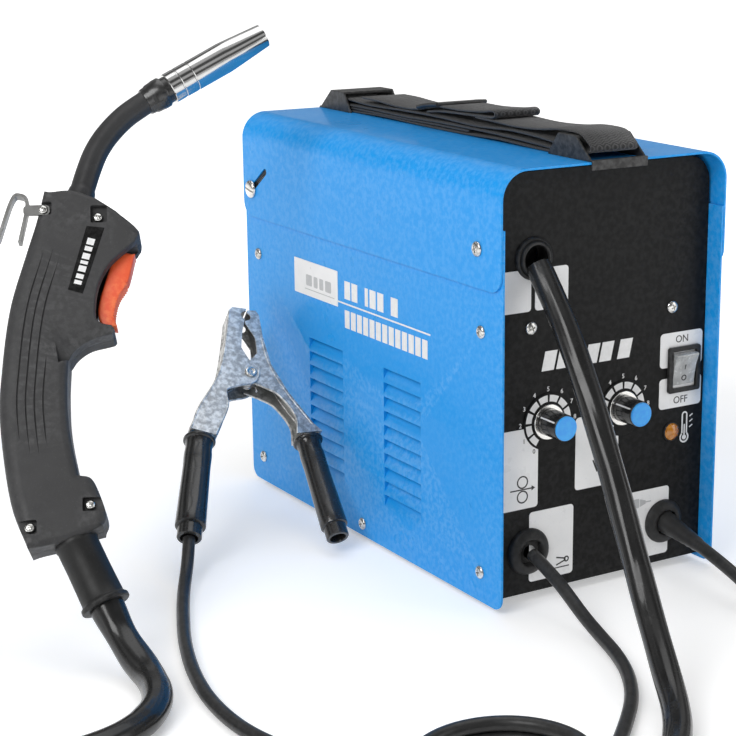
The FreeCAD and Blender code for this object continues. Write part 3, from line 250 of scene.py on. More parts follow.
def hose_sleeve():
    """Glossy black sleeve with long soft wrinkles."""
    finish = Finish("hose_sleeve", 0.012, 0.22)
    finish.mottle(0.024, 0.7, 0.3, 0.7, 22, 4)
    finish.mottle(0.12, 0.18, 0.6, 0.8, 600, 5)
    finish.gloss(0.16, 0.34, 60, 5)
    finish.grain(0.35, 1.2, 34, 3)
    finish.grain(0.10, 0.2, 900, 3)
    finish.set(Specular_IOR_Level=0.3, Coat_Weight=0.2, Coat_Roughness=0.08)


def lamp_amber():
    """A clear amber lens."""
    finish = Finish("amber_lens", (0.85, 0.34, 0.015), 0.12)
    finish.mottle((0.48, 0.15, 0.004), 0.8, 0.3, 0.7, 180, 3)
    finish.gloss(0.08, 0.18, 300, 2)
    finish.grain(0.06, 0.2, 600, 2)
    finish.set(Transmission_Weight=0.35, Coat_Weight=0.8)


def switch_cover():
    """The soft clear hood over the rocker, milky where it is thick."""
    finish = Finish("switch_cover", (0.42, 0.43, 0.43), 0.22)
    finish.mottle((0.62, 0.63, 0.63), 0.9, 0.3, 0.7, 150, 4)
    finish.gloss(0.14, 0.32, 260, 4)
    finish.grain(0.2, 0.3, 420, 3)
    finish.set(Transmission_Weight=0.15, Coat_Weight=0.7)


def copper():
    """Enamelled copper winding, wound across."""
    finish = Finish("copper_winding", (0.45, 0.16, 0.05), 0.3, 0.85)
    turns = finish.math("PINGPONG", finish.along("Z", 2.2), 0.5)
    finish.tint(finish.spread(turns, 0.7, 0.0, 0.05, 0.35), (0.08, 0.02, 0.01))
    finish.gloss(0.22, 0.4, 120, 4)
    finish.relief(turns, 0.8, 0.8)


def laminated_core():
    """Stacked transformer plates under varnish."""
    finish = Finish("core_iron", (0.12, 0.115, 0.11), 0.45, 0.7)
    plates = finish.math("PINGPONG", finish.along("Y", 1.0), 0.5)
    finish.tint(finish.spread(plates, 0.6, 0.0, 0.05, 0.3), (0.03, 0.028, 0.026))
    finish.mottle((0.20, 0.09, 0.04), 0.5, 0.5, 0.8, 60, 5)
    finish.gloss(0.35, 0.6, 90, 4)
    finish.relief(plates, 0.5, 0.4)


def circuit_board():
    """Green solder mask with fine tracks."""
    finish = Finish("circuit_board", (0.02, 0.16, 0.06), 0.3)
    tracks = finish.add("ShaderNodeTexBrick", {"Vector": finish.place}, {"Scale": 220.0}).outputs["Fac"]
    finish.tint(finish.spread(tracks, 0.0, 0.6, 0.2, 0.8), (0.10, 0.34, 0.14))
    finish.gloss(0.22, 0.4, 300, 3)
    finish.relief(tracks, 0.2, 0.2)


for make_finish in (blue_paint, galvanised, rolled_steel, printed_plate, webbing, hose_sleeve, lamp_amber,
                    switch_cover, copper, laminated_core, circuit_board):
    make_finish()
powder_coat("black_paint", 0.0050, 0.0070, 0.16, (0.42, 0.50), 0.14)
powder_coat("bracket_steel", 0.022, 0.028, 0.12, (0.32, 0.40), 0.25)
plated("zinc_screws", (0.78, 0.78, 0.76), (0.34, 0.33, 0.31))
plated("latch_metal", (0.86, 0.85, 0.82), (0.60, 0.58, 0.55), (0.14, 0.24), 120, 0.02)
plated("roll_steel", (0.62, 0.61, 0.59), (0.36, 0.35, 0.33), (0.22, 0.4))
plated("torch_screw", (0.80, 0.80, 0.78), (0.36, 0.35, 0.33))
plated("hook_steel", (0.26, 0.26, 0.255), (0.16, 0.16, 0.155), (0.26, 0.38), 120, 0.03)
plated("nozzle_chrome", (0.62, 0.62, 0.615), (0.50, 0.50, 0.495), (0.09, 0.15), 60, 0.006)
plated("tip_copper", (0.72, 0.34, 0.18), (0.40, 0.17, 0.09), (0.2, 0.35))
plated("spring_steel", (0.62, 0.61, 0.60), (0.30, 0.29, 0.28), (0.2, 0.38))
moulded("black_rubber", 0.013, 0.021, (0.38, 0.52), 1100, reflection=0.25)
moulded("switch_black", 0.012, 0.020, (0.3, 0.42), reflection=0.25)
moulded("knob_plastic", 0.011, 0.016, (0.16, 0.28), 900, 0.08, 0.5)
moulded("spool_plastic", (0.025, 0.025, 0.028), (0.04, 0.04, 0.045), (0.3, 0.45))
moulded("feeder_plastic", (0.03, 0.03, 0.032), (0.05, 0.05, 0.052))
moulded("fan_plastic", (0.02, 0.02, 0.021), (0.034, 0.034, 0.035))
moulded("torch_plastic", (0.038, 0.038, 0.039), (0.046, 0.046, 0.047), (0.44, 0.58), 1300, 0.28, reflection=0.24)
moulded("trigger_red", (0.78, 0.088, 0.026), (0.84, 0.115, 0.034), (0.34, 0.5), 1200, 0.18)
moulded("neck_rubber", (0.030, 0.030, 0.031), (0.044, 0.044, 0.045), (0.32, 0.46), 900, 0.2, reflection=0.25)
moulded("collar_plastic", 0.014, 0.022, (0.2, 0.34), 900, 0.1, 0.3)
moulded("clamp_grip", 0.013, 0.022, (0.18, 0.32), 700, 0.12, 0.4, 0.4)
moulded("cable_rubber", 0.020, 0.031, (0.34, 0.48), 1000, 0.16, 0.1, 0.25)
moulded("plug_plastic", 0.016, 0.026, (0.36, 0.5))
moulded("cap_blue", (0.036, 0.32, 0.86), (0.05, 0.36, 0.92), (0.32, 0.46), 1200, 0.1)
moulded("name_strip", 0.004, 0.006, (0.20, 0.28), 700, 0.04, reflection=0.15)
ink("white_ink", 0.80)
ink("black_ink", 0.012)
ink("grey_ink", (0.46, 0.47, 0.48))


# ---------------------------------------------------------------- pieces
def place(name, data):
    """A new object in the scene."""
    obj = bpy.data.objects.new(name, data)
    bpy.context.scene.collection.objects.link(obj)
    return obj


def soften(obj, width, angle=32.0, weld=False):
    """Rounded edges and smooth shading that keep the flat faces flat."""
    for polygon in obj.data.polygons:
        polygon.use_smooth = True
    if weld:
        merge = obj.modifiers.new("weld", "WELD")
        merge.merge_threshold = 0.004 * MM
        flats = obj.modifiers.new("flats", "DECIMATE")
        flats.decimate_type = "DISSOLVE"
        flats.angle_limit = math.radians(0.6)
    bevel = obj.modifiers.new("edges", "BEVEL")
    bevel.width = width * MM
    bevel.segments = 2
    bevel.limit_method = "ANGLE"
    bevel.angle_limit = math.radians(angle)
    bevel.use_clamp_overlap = True
    flatten(obj)


def flatten(obj):
    """Keeps large faces flat-shaded where they meet rounded ones."""
    weights = obj.modifiers.new("weights", "WEIGHTED_NORMAL")
    weights.keep_sharp = True


def piece(name, work, finish, body="case", replaces=(), edge=0.0, slot=None, angle=32.0):
    """Turns a bmesh in millimetres into a piece that rides on a body."""
    bmesh.ops.recalc_face_normals(work, faces=work.faces)
    work.transform(Matrix.Scale(MM, 4))
    mesh = bpy.data.meshes.new(name)
    work.to_mesh(mesh)
    work.free()
    obj = place(name, mesh)
    mesh.materials.append(FINISHES[finish])
    if edge:
        soften(obj, edge, angle)
    else:
        for polygon in mesh.polygons:
            polygon.use_smooth = True
        mesh.set_sharp_from_angle(angle=math.radians(angle))
    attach(obj, body)
    if replaces:
        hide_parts(*replaces)
    return obj


def seat(origin, z_axis, x_axis=None):
    """A frame whose local z runs along an axis."""
    z_axis = Vector(z_axis).normalized()
    guide = Vector(x_axis) if x_axis else (Vector((0, 0, 1)) if abs(z_axis.z) < 0.9 else Vector((1, 0, 0)))
    y_axis = z_axis.cross(guide).normalized()
    x_axis = y_axis.cross(z_axis)
    matrix = Matrix((x_axis, y_axis, z_axis)).transposed().to_4x4()
    return Matrix.Translation(Vector(origin)) @ matrix


def ring_of(work, matrix, radius, height, steps, wave=None):
    """Points round the local z; a wave varies the radius."""
    points = []
    for index in range(steps):
        angle = 2 * math.pi * index / steps
        reach = radius * (wave(angle, height) if wave else 1.0)
        points.append(work.verts.new(matrix @ Vector((reach * math.cos(angle), reach * math.sin(angle), height))))
    return points


def bridge(work, lower, upper):
    """The faces between two closed rows of points."""
    for index in range(len(lower)):
        after = (index + 1) % len(lower)
        work.faces.new((lower[index], lower[after], upper[after], upper[index]))


def lathe(work, profile, matrix, steps=56, wave=None, close=True):
    """Turns a profile of (radius, height) about the local z; its ends are capped."""
    rings = [ring_of(work, matrix, radius, height, steps, wave) for radius, height in profile]
    for lower, upper in zip(rings, rings[1:]):
        bridge(work, lower, upper)
    if close:
        work.faces.new(rings[0])
        work.faces.new(rings[-1])


def turned(name, profile, view, steps, finish, body="case", close=True, wave=None, **options):
    """A piece made of one turned profile."""
    work = bmesh.new()
    lathe(work, profile, view, steps, wave, close)
    return piece(name, work, finish, body, **options)


def slab(work, outline, low, high, matrix=Matrix()):
    """A flat outline pushed from low to high along the local z."""
    bottom = [work.verts.new(matrix @ Vector((x, y, low))) for x, y in outline]
    top = [work.verts.new(matrix @ Vector((x, y, high))) for x, y in outline]
    bridge(work, bottom, top)
    work.faces.new(bottom)
    work.faces.new(top)


def slabs(work, outlines, low, high, matrix=Matrix()):
    for outline in outlines:
        slab(work, outline, low, high, matrix)


def rectangle(left, right, low, high, corner=0.0, steps=6):
    """A rectangle's outline with round corners."""
    if corner <= 0:
        return [(left, low), (right, low), (right, high), (left, high)]
    points = []
    centres = ((right - corner, high - corner), (left + corner, high - corner),
               (left + corner, low + corner), (right - corner, low + corner))
    for quarter, (x, y) in enumerate(centres):
        for step in range(steps + 1):
            angle = math.pi / 2 * (quarter + step / steps)
            points.append((x + corner * math.cos(angle), y + corner * math.sin(angle)))
    return points


def arc_band(inner, outer, start, end, centre=(0, 0), steps=10):
    """A ring segment; its angles are clockwise degrees from the top."""
    def at(radius, angle):
        turn = math.radians(angle)
        return centre[0] + radius * math.sin(turn), centre[1] + radius * math.cos(turn)
    spread = [start + (end - start) * step / steps for step in range(steps + 1)]
    return [at(outer, angle) for angle in spread] + [at(inner, angle) for angle in reversed(spread)]


def lettering(work, words, size, matrix, low, high):
    """Raised characters centred on the local origin."""
    curve = bpy.data.curves.new("lettering", "FONT")
    curve.body = words
    curve.size = size
    curve.align_x = "CENTER"
    curve.align_y = "CENTER"
    curve.resolution_u = 3
    curve.extrude = (high - low) / 2
    holder = bpy.data.objects.new("lettering", curve)
    mesh = bpy.data.meshes.new_from_object(holder)
    mesh.transform(matrix @ Matrix.Translation((0, 0, (low + high) / 2)))
    work.from_mesh(mesh)
    bpy.data.objects.remove(holder)
    bpy.data.curves.remove(curve)
    bpy.data.meshes.remove(mesh)


def stroke(start, end, width):
    """The outline of a straight line of some width."""
    a = Vector(start)
    b = Vector(end)
    along = (b - a).normalized()
    side = Vector((-along.y, along.x)) * width / 2
    return [tuple(a + side), tuple(a - side), tuple(b - side), tuple(b + side)]


def smooth_line(points, per_span=8):
    """A Catmull-Rom line through the given points."""
    points = [Vector(p) for p in points]
    padded = [2 * points[0] - points[1]] + points + [2 * points[-1] - points[-2]]
    line = []
    for a, b, c, d in zip(padded, padded[1:], padded[2:], padded[3:]):
        for step in range(per_span):
            t = step / per_span
            line.append(0.5 * ((2 * b) + (c - a) * t + (2 * a - 5 * b + 4 * c - d) * t ** 2
                               + (3 * b - a - 3 * c + d) * t ** 3))
    return line + [points[-1]]


def sweep(work, line, section, side):
    """Carries a closed section along a line; section(share) gives its outline, side its first sideways axis."""
    across = Vector(side)
    rings = []
    for index, point in enumerate(line):
        ahead = (line[min(index + 1, len(line) - 1)] - line[max(index - 1, 0)]).normalized()
        across = (across - ahead * ahead.dot(across)).normalized()
        upward = ahead.cross(across)
        rings.append([work.verts.new(point + across * x + upward * y) for x, y in section(index / (len(line) - 1))])
    for lower, upper in zip(rings, rings[1:]):
        bridge(work, lower, upper)
    work.faces.new(rings[0])
    work.faces.new(rings[-1])


def round_section(radius, steps=12):
    """A circle as a section for sweep."""
    ring = [(radius * math.cos(2 * math.pi * k / steps), radius * math.sin(2 * math.pi * k / steps))
            for k in range(steps)]
    return lambda share: ring


def carve(obj, work):
    """Cuts a millimetre bmesh out of a piece and keeps the result."""
    bmesh.ops.recalc_face_normals(work, faces=work.faces)
    if work.calc_volume(signed=True) < 0:
        bmesh.ops.reverse_faces(work, faces=work.faces)
    work.transform(Matrix.Scale(MM, 4))
    mesh = bpy.data.meshes.new("cutter")
    work.to_mesh(mesh)
    work.free()
    knife = obj.modifiers.new("cut", "BOOLEAN")
    knife.operation = "DIFFERENCE"
    knife.solver = "EXACT"
    knife.object = place("cutter", mesh)
    graph = bpy.context.evaluated_depsgraph_get()
    result = bpy.data.meshes.new_from_object(obj.evaluated_get(graph))
    old = obj.data
    obj.data = result
    bpy.data.objects.remove(knife.object)
    obj.modifiers.remove(knife)
    bpy.data.meshes.remove(mesh)
    bpy.data.meshes.remove(old)


def pocket(obj, outlines, low, high, matrix):
    """Cuts straight pockets of some outlines out of a piece."""
    cutter = bmesh.new()
    slabs(cutter, outlines, low, high, matrix)
    carve(obj, cutter)


# ---------------------------------------------------------------- carried-over CAD nodes
EDGE_OF = {"lid": 0.5, "left_side_panel": 0.4, "right_side_panel": 0.4, "front_panel": 0.5, "rear_panel": 0.5,
           "strap_brackets": 0.35, "switch_housing": 0.6, "clamp_fixed_arm": 0.45, "clamp_moving_arm": 0.45}
PLAIN_EDGE = 0.3
for subpart in frame["record"]["subparts"]:
    cad_node = frame["nodes"][subpart["node"]]
    cad_node.data.materials.clear()
    cad_node.data.materials.append(FINISHES[subpart["material_slot"]])
    soften(cad_node, EDGE_OF.get(subpart["node"], PLAIN_EDGE), weld=True)

# ---------------------------------------------------------------- machine
FRONT_FACE = -169.95
SIDE_FACE = -92.05
HALF_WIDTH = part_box("lid")[1].x / MM
LID_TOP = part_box("lid")[1].z / MM
SIDE_SCREWS = ((163.7, 192.6), (-158.7, 192.8), (163.8, 23.8), (2.4, 12.5), (-158.2, 24.2))
END_SCREWS = ((-60, 193.6), (60, 193.6))
PIVOT = (-156.5, 248.4)
LATCH = (169.7, 244.0)
DRIVE_PLATE = (-90.5, -53.3, 68, 124.5)
VOLT_PLATE = (-21.9, 15, 73.4, 125.5)
FRONT_PLATES = ((-84.8, -60.2, 205, 233.5, 2.6), (-57.0, -30, 205, 233.5, 2.6), (*DRIVE_PLATE, 2.6),
                (*VOLT_PLATE, 2.6), (25.5, 61.6, 12.4, 63, 2.6), (-60, -22.9, 14, 64.4, 2.6),
                (50.4, 88.2, 150, 175, 3.0), (50.4, 88.2, 120, 142.2, 3.0))
DIALS = {"knob_left": -45.5, "knob_right": 18.0}
DIAL_HEIGHT = 127.0
NUMBER_RADIUS = 22.6
SCALE_START = -150.0
SCALE_STEP = 30.0
SCALE_MARKS = 9
POINTER_REST = 60.0
GLAND_HEIGHT = 37.0
LID_CLEARANCE = 0.2
PLATE = (0, 0.4)
SIDE_PAINT = (0, 0.14)
FRONT_PAINT = (0, 0.2)
PRINTED = (0.3, 0.5)
LETTERED = (0.3, 0.55)
SLOT_LENGTH = 28.4
SLOT_END = 3.4
# teeth of the black strips that paint the shade inside the latch slots
SHADE_STRIP_TEETH = 34


def on_front(x=0.0, z=0.0):
    """The front panel seen from outside: local x to the right, y up, z outwards."""
    return seat((x, FRONT_FACE, z), (0, -1, 0), (1, 0, 0))


def wall_frame(side):
    """A side panel seen from outside: local x runs to the right, y up, z outwards."""
    return seat((side * -SIDE_FACE, 0, 0), (side, 0, 0), (0, side, 0))


def on_lid_side(side, spot):
    """A spot on the lid's side seen from outside; local z runs outwards."""
    return seat((side * (HALF_WIDTH + LID_CLEARANCE), *spot), (side, 0, 0))


def on_side(side, start, end, low, high, corner=0.0):
    """A rectangle on a side panel between two distances from the machine's middle."""
    return rectangle(*sorted((side * start, side * end)), low, high, corner)


def label_plates():
    """White plates on the front, and the blank name plates on both sides."""
    plates = bmesh.new()
    slabs(plates, [rectangle(*plate) for plate in FRONT_PLATES], *PLATE, on_front())
    for side in (-1, 1):
        slab(plates, on_side(side, 35, 103, 173.5, 200.5, 0.8), *PLATE, wall_frame(side))
    piece("label_plates", plates, "printed_plate", replaces=("panel_labels",), edge=0.12)


def side_marks():
    """Blank lettering bars beside each name plate, over and under a rule, and bars on the plate."""
    marks = bmesh.new()
    frets = bmesh.new()
    words = [(35, -95, 177.2, 178.4)]
    words += [(start, start - width, 181.5, 195.0)
              for start, width in ((25, 8.5), (14.5, 8.5), (-5, 4.5), (-12, 8.5), (-23, 8.5), (-42, 9.5))]
    words += [(25 - 9.1 * index, 18 - 9.1 * index, 159.5, 173.0) for index in range(13)]
    names = [(start, start - width, 181.5, 190.0, 1.2) for start, width in ((84, 9), (72, 6), (63, 6), (54, 9))]
    names.append((86, 40, 178.4, 179.0))
    for side in (-1, 1):
        slabs(marks, [on_side(side, *word) for word in words], *SIDE_PAINT, wall_frame(side))
        slabs(frets, [on_side(side, *name) for name in names], *PRINTED, wall_frame(side))
    piece("side_marks", marks, "white_ink")
    piece("name_plate_marks", frets, "grey_ink")


def dial_discs():
    """A black disc and a bright ring under each knob."""
    discs = bmesh.new()
    rings = bmesh.new()
    for x in DIALS.values():
        lathe(discs, ((20, 0), (20, 0.9), (19.8, 1.0), (4.4, 1.0), (4.4, 0)), on_front(x, DIAL_HEIGHT), 72, close=False)
        lathe(rings, ((12.3, 1.0), (12.3, 2.3), (11.9, 2.6), (3.2, 2.6), (3.2, 2.45), (3.2, 1.0)),
              on_front(x, DIAL_HEIGHT), 64, close=False)
    piece("dial_discs", discs, "black_paint", edge=0.1)
    piece("dial_rings", rings, "latch_metal", edge=0.1)


def on_white(x, z):
    """True where a mark would fall on a white plate."""
    return any(left < x < right and low < z < high for left, right, low, high in (DRIVE_PLATE, VOLT_PLATE))


def dial_marks(white, black):
    """Scale segments and the numbers 0 to 8 around each dial."""
    for x in DIALS.values():
        for index in range(SCALE_MARKS - 1):
            start = SCALE_START + SCALE_STEP * index
            slab(white, arc_band(14.0, 18.6, start + 3, start + SCALE_STEP - 3), 1.0, 1.14, on_front(x, DIAL_HEIGHT))
        for index in range(SCALE_MARKS):
            angle = math.radians(SCALE_START + SCALE_STEP * index)
            spot = x + NUMBER_RADIUS * math.sin(angle), DIAL_HEIGHT + NUMBER_RADIUS * math.cos(angle)
            lettering(black if on_white(*spot) else white, str(index), 4.6, on_front(*spot), *LETTERED)


def front_marks():
    """Everything printed on the front: the dials' scales, a row of blank bars and plain symbols."""
    white = bmesh.new()
    black = bmesh.new()
    dial_marks(white, black)
    slabs(white, [[(left, 162.5), (left + width, 162.5), (left + width + 3, 176), (left + 3, 176)]
                  for left, width in ((-51, 10), (-39, 10), (-22, 5), (-15, 10), (-3, 10), (12.5, 10.5))],
          *FRONT_PAINT, on_front())
    thermometer = [arc_band(2.9, 4.1, 40, 320, (0, -7.6), 24), rectangle(-2.6, -1.5, -4.6, 9.0),
                   rectangle(1.5, 2.6, -4.6, 9.0), arc_band(1.5, 2.6, -90, 90, (0, 8.9), 12),
                   rectangle(-0.5, 0.5, -6.5, 2.0), arc_band(0.01, 1.8, 0, 359, (0, -7.6), 20)]
    thermometer += [stroke((4.6, height - 0.8), (7.2, height + 0.8), 0.8) for height in (0.0, 4.0, 8.0)]
    slabs(white, thermometer, *FRONT_PAINT, on_front(74.3, 104.3))
    for words, z in (("ON", 169.6), ("OFF", 125.2)):
        lettering(black, words, 7.4, on_front(69.6, z), *LETTERED)
    wire_drive = [arc_band(3.6, 4.6, 0, 359.5, (0, side * 5.2), 32) for side in (-1, 1)]
    wire_drive += [stroke((-10, 0), (8, 0), 0.9), [(7.5, -1.8), (10.5, 0), (7.5, 1.8)]]
    slabs(black, wire_drive, *PRINTED, on_front(-66, 82))
    lettering(black, "V", 13.0, on_front(-3.5, 88), *LETTERED)
    earth_clamp = (stroke((-6, -2), (2, 0.6), 1.0), stroke((-6, 3.6), (2, 1.6), 1.0),
                   arc_band(1.2, 2.2, 0, 359.5, (2.6, 1.1), 20), stroke((-10, -4), (5, -4), 0.8))
    slabs(black, earth_clamp, *PRINTED, on_front(-31, 24))
    piece("white_marks", white, "white_ink")
    piece("black_marks", black, "black_ink")
    mains_plug = (rectangle(-7, -1, -3.4, 3.4, 1.2), rectangle(-9.6, -7, 1.0, 1.9), rectangle(-9.6, -7, -1.9, -1.0),
                  [(-0.4, -2.8), (4.6, -1.2), (4.6, 1.2), (-0.4, 2.8)], stroke((4.6, 0), (9.5, 0), 0.9))
    grey = bmesh.new()
    slabs(grey, mains_plug, *PRINTED, on_front(36, 54))
    piece("mains_icon", grey, "grey_ink")


def knobs():
    """Smooth knobs with a blue cap and a white pointer line along the barrel."""
    for name, x in DIALS.items():
        view = on_front(x, DIAL_HEIGHT)
        turned(name + "_barrel",
               ((4.0, 2.9), (9.3, 2.9), (9.6, 3.5), (9.5, 6.0), (9.15, 19.8), (8.9, 20.6), (8.3, 20.9)),
               view, 64, "knob_plastic", name, replaces=(name,), edge=0.25)
        turned(name + "_cap", ((8.1, 20.4), (8.45, 20.7), (8.5, 21.9), (8.2, 22.4), (7.4, 22.6)),
               view, 64, "cap_blue", name, edge=0.2, slot="knob_plastic")
        pointer = bmesh.new()
        radial = view @ Matrix.Rotation(math.radians(POINTER_REST), 4, "Z") @ seat((0, 0, 0), (0, 1, 0), (1, 0, 0))
        slab(pointer, rectangle(-0.55, 0.55, -19.4, -3.6, 0.4), 9.05, 9.62, radial)
        piece(name + "_pointer", pointer, "white_ink", name, slot="knob_plastic")


def switch():
    """The rocker under its ribbed clear hood, with its I and O."""
    low, high = (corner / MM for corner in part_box("switch_rocker"))
    half = (high.x - low.x) / 2 - 0.2
    centre = (high.x + low.x) / 2
    middle = (high.z + low.z) / 2
    tall = (high.z - low.z) / 2
    view = seat((centre, FRONT_FACE, middle), (-1, 0, 0), (0, -1, 0))
    hood = bmesh.new()
    outline = [(1.0, -tall + 0.3), (2.0, -tall * 0.4), (3.6, tall * 0.25), (6.6, tall - 1.6), (6.2, tall - 0.8),
               (2.4, tall - 0.2), (-2.4, tall - 1.8), (-6.0, 0), (-4.0, -tall + 1.8)]
    slab(hood, outline, -half, half, view)
    piece("rocker_hood", hood, "switch_cover", "rocker", replaces=("switch_rocker",), edge=0.5)
    ribs = bmesh.new()
    for index in range(7):
        across = -half + 1.6 + index * (2 * half - 3.2) / 6
        slab(ribs, [(3.6, tall * 0.3), (6.9, tall - 1.9), (6.4, tall - 1.6), (3.2, tall * 0.35)],
             across - 0.45, across + 0.45, view)
    piece("rocker_ribs", ribs, "switch_cover", "rocker", edge=0.15)
    marks = bmesh.new()
    slope = seat((centre, FRONT_FACE - 1.75, middle - tall * 0.55), (0, -1, -0.12), (1, 0, 0))
    slab(marks, arc_band(1.5, 2.2, 0, 359.5, (0, 0), 28), -0.3, 0.25, slope)
    upper = seat((centre, FRONT_FACE - 3.1, middle + tall * 0.12), (0, -1, -0.3), (1, 0, 0))
    slab(marks, rectangle(-0.35, 0.35, -2.0, 2.0), -0.3, 0.35, upper)
    piece("rocker_marks", marks, "black_ink", "rocker", slot="switch_cover")


def lamp():
    """An amber lens with diamond facets in a thin dark rim, on a threaded barrel."""
    view = on_front(62.0, 102.8)
    lens = bmesh.new()
    steps = 14
    rings = []
    for row, (radius, height) in enumerate(((6.3, 0.2), (6.2, 1.2), (5.2, 2.3), (3.6, 3.2), (1.9, 3.8), (0.6, 4.0))):
        turn = seat((0, 0, 0), (0, 0, 1), (1, 0, 0)) @ Matrix.Rotation(math.pi / steps * row, 4, "Z")
        rings.append(ring_of(lens, view @ turn, radius, height, steps))
    for lower, upper in zip(rings, rings[1:]):
        for index in range(steps):
            after = (index + 1) % steps
            lens.faces.new((lower[index], lower[after], upper[index]))
            lens.faces.new((lower[after], upper[after], upper[index]))
    lens.faces.new(rings[0])
    lens.faces.new(rings[-1])
    piece("lamp_facets", lens, "amber_lens", replaces=("lamp_lens",), angle=8.0)
    turned("lamp_rim", ((7.0, 0), (7.0, 1.0), (6.7, 1.4), (6.3, 1.4), (6.3, 0)), view, 48, "switch_black", close=False)
    turned("lamp_barrel", [(4.45 if step % 4 in (1, 2) else 4.8, -16 + 0.6 * step) for step in range(25)],
           view, 24, "amber_lens", edge=0.2)


def cross_recess(work, view, depth, reach, width):
    """The cutter of a cross recess, narrower inwards."""
    def cross(scale, height):
        outline = []
        for quarter in range(4):
            turn = Matrix.Rotation(math.pi / 2 * quarter + 0.35, 2)
            outline += [turn @ (Vector(arm) * scale) for arm in ((reach, -width), (reach, width), (width, width))]
        return [work.verts.new(view @ Vector((p.x, p.y, height))) for p in outline]

    lower = cross(0.62, depth[0])
    upper = cross(1.0, depth[1])
    bridge(work, lower, upper)
    work.faces.new(lower)
    work.faces.new(upper)


def screw_heads(name, seats, radius, rise, finish, replaces, shank=(2.0, 8.0)):
    """Pan heads with a cross recess, and the shanks behind them."""
    profile = [(shank[0], -shank[1]), (shank[0], -0.3), (radius * 0.96, 0.0), (radius, 0.35)]
    for step in range(1, 7):
        angle = math.pi / 2 * step / 6.3
        profile.append((radius * math.cos(angle) ** 0.8, 0.35 + (rise - 0.35) * math.sin(angle)))
    heads = bmesh.new()
    cutters = bmesh.new()
    for view in seats:
        lathe(heads, profile, view, 32)
        cross_recess(cutters, view, (rise - 1.35, rise + 0.4), radius * 0.56, radius * 0.13)
    carve(piece(name, heads, finish, replaces=replaces, angle=40), cutters)


def machine_screws():
    """The panels' screws and the two that the lid turns on."""
    seats = []
    for side in (-1, 1):
        seats += [seat((side * -SIDE_FACE, y, z), (side, 0, 0)) for y, z in SIDE_SCREWS]
    for x, z in END_SCREWS:
        seats += [on_front(x, z), seat((x, -FRONT_FACE, z), (0, 1, 0))]
    screw_heads("case_screw_heads", seats, 4.6, 2.4, "zinc_screws", ("case_screws",))
    pivots = [on_lid_side(side, PIVOT) for side in (-1, 1)]
    screw_heads("pivot_screw_heads", pivots, 5.2, 2.5, "zinc_screws", ("lid_pivot_screws",), (2.9, 13))


def latches():
    """Large slotted heads that slide in the lid's slanted slots, and toothed black strips inside the lid behind the
    slots: painted shade that makes each slot read dark.
    """
    profile = [(2.3, -7.6), (2.3, -5.2), (5.4, -5.2), (5.4, -2.4), (2.3, -2.4), (2.3, -0.1), (6.9, 0), (7.2, 0.5)]
    for step in range(1, 7):
        angle = math.pi / 2 * step / 6.4
        profile.append((7.2 * math.cos(angle) ** 0.55, 0.5 + 2.9 * math.sin(angle)))
    along = Vector((0, -0.818, 0.575))
    across = Vector((0, 0.575, 0.818))
    for side, name in ((-1, "left"), (1, "right")):
        view = on_lid_side(side, LATCH)
        node = "latch_screw_" + name
        head = turned(node + "_head", profile, view, 48, "latch_metal", "latch_" + name, replaces=(node,), angle=40)
        slot = view @ Matrix.Rotation(math.radians(78), 4, "Z")
        pocket(head, [rectangle(-9, 9, -0.75, 0.75)], 1.9, 5.0, slot)
        # painted shade: black toothed strips behind each slot stand in for the shade seen through it
        shade_strips = bmesh.new()
        inner_side = Matrix((along, across, along.cross(across) * side)).transposed().to_4x4()
        inner_side.translation = (side * 91.9, *LATCH)
        for half in (-1, 1):
            teeth = [(-SLOT_END + (SLOT_LENGTH + 2 * SLOT_END) * step / (2 * SHADE_STRIP_TEETH),
                      half * (0.12 if step % 2 else 0.42)) for step in range(2 * SHADE_STRIP_TEETH + 1)]
            back = half * 3.5
            lip = [(-SLOT_END, back), *teeth, (SLOT_LENGTH + SLOT_END, back)]
            slab(shade_strips, lip[::half], -0.35, 0.35, inner_side)
        piece("slot_shade_strips_" + name, shade_strips, "black_rubber", "lid")


def grommet_and_glands():
    """Bushes where the hose and the cables come through the front."""
    turned("hose_grommet",
           ((9.1, -8), (12.6, -8), (12.6, -2), (10.7, -2), (10.7, 0), (14.5, 0), (14.5, 1.4), (13.9, 2.4), (12.9, 2.9),
            (12.2, 2.5), (11.9, 3.6), (11.3, 4.7), (10.3, 5.0), (9.6, 4.6), (9.2, 3.4)),
           on_front(-58.5, 240.6), 64, "black_rubber", close=False, replaces=("torch_grommet",), angle=50)
    for name, x, radius in (("ground_gland", -61.0, 16.5), ("mains_gland", 56.5, 16.0)):
        view = on_front(x, GLAND_HEIGHT)
        profile = [(4.7, -8), (12.2, -8), (12.2, -2), (9.2, -2), (9.2, 0), (radius, 0), (radius, 1.6)]
        profile += [(radius - inset, height) for inset, height in
                    ((0.7, 3.0), (2.2, 4.4), (4.4, 5.6), (6.2, 6.0), (7.0, 5.6), (8.2, 3.6), (9.2, 2.2))]
        bush = turned(name + "_bush", [*profile, (4.7, 2.0)], view, 64, "black_rubber", close=False, replaces=(name,),
                      angle=50)
        pocket(bush, [rectangle(-7.2, 7.2, -7.2, 7.2, 1.5)], 2.6, 9.0, view)


for make_part in (label_plates, side_marks, dial_discs, front_marks, knobs, switch, lamp, machine_screws, latches,
                  grommet_and_glands):
    make_part()

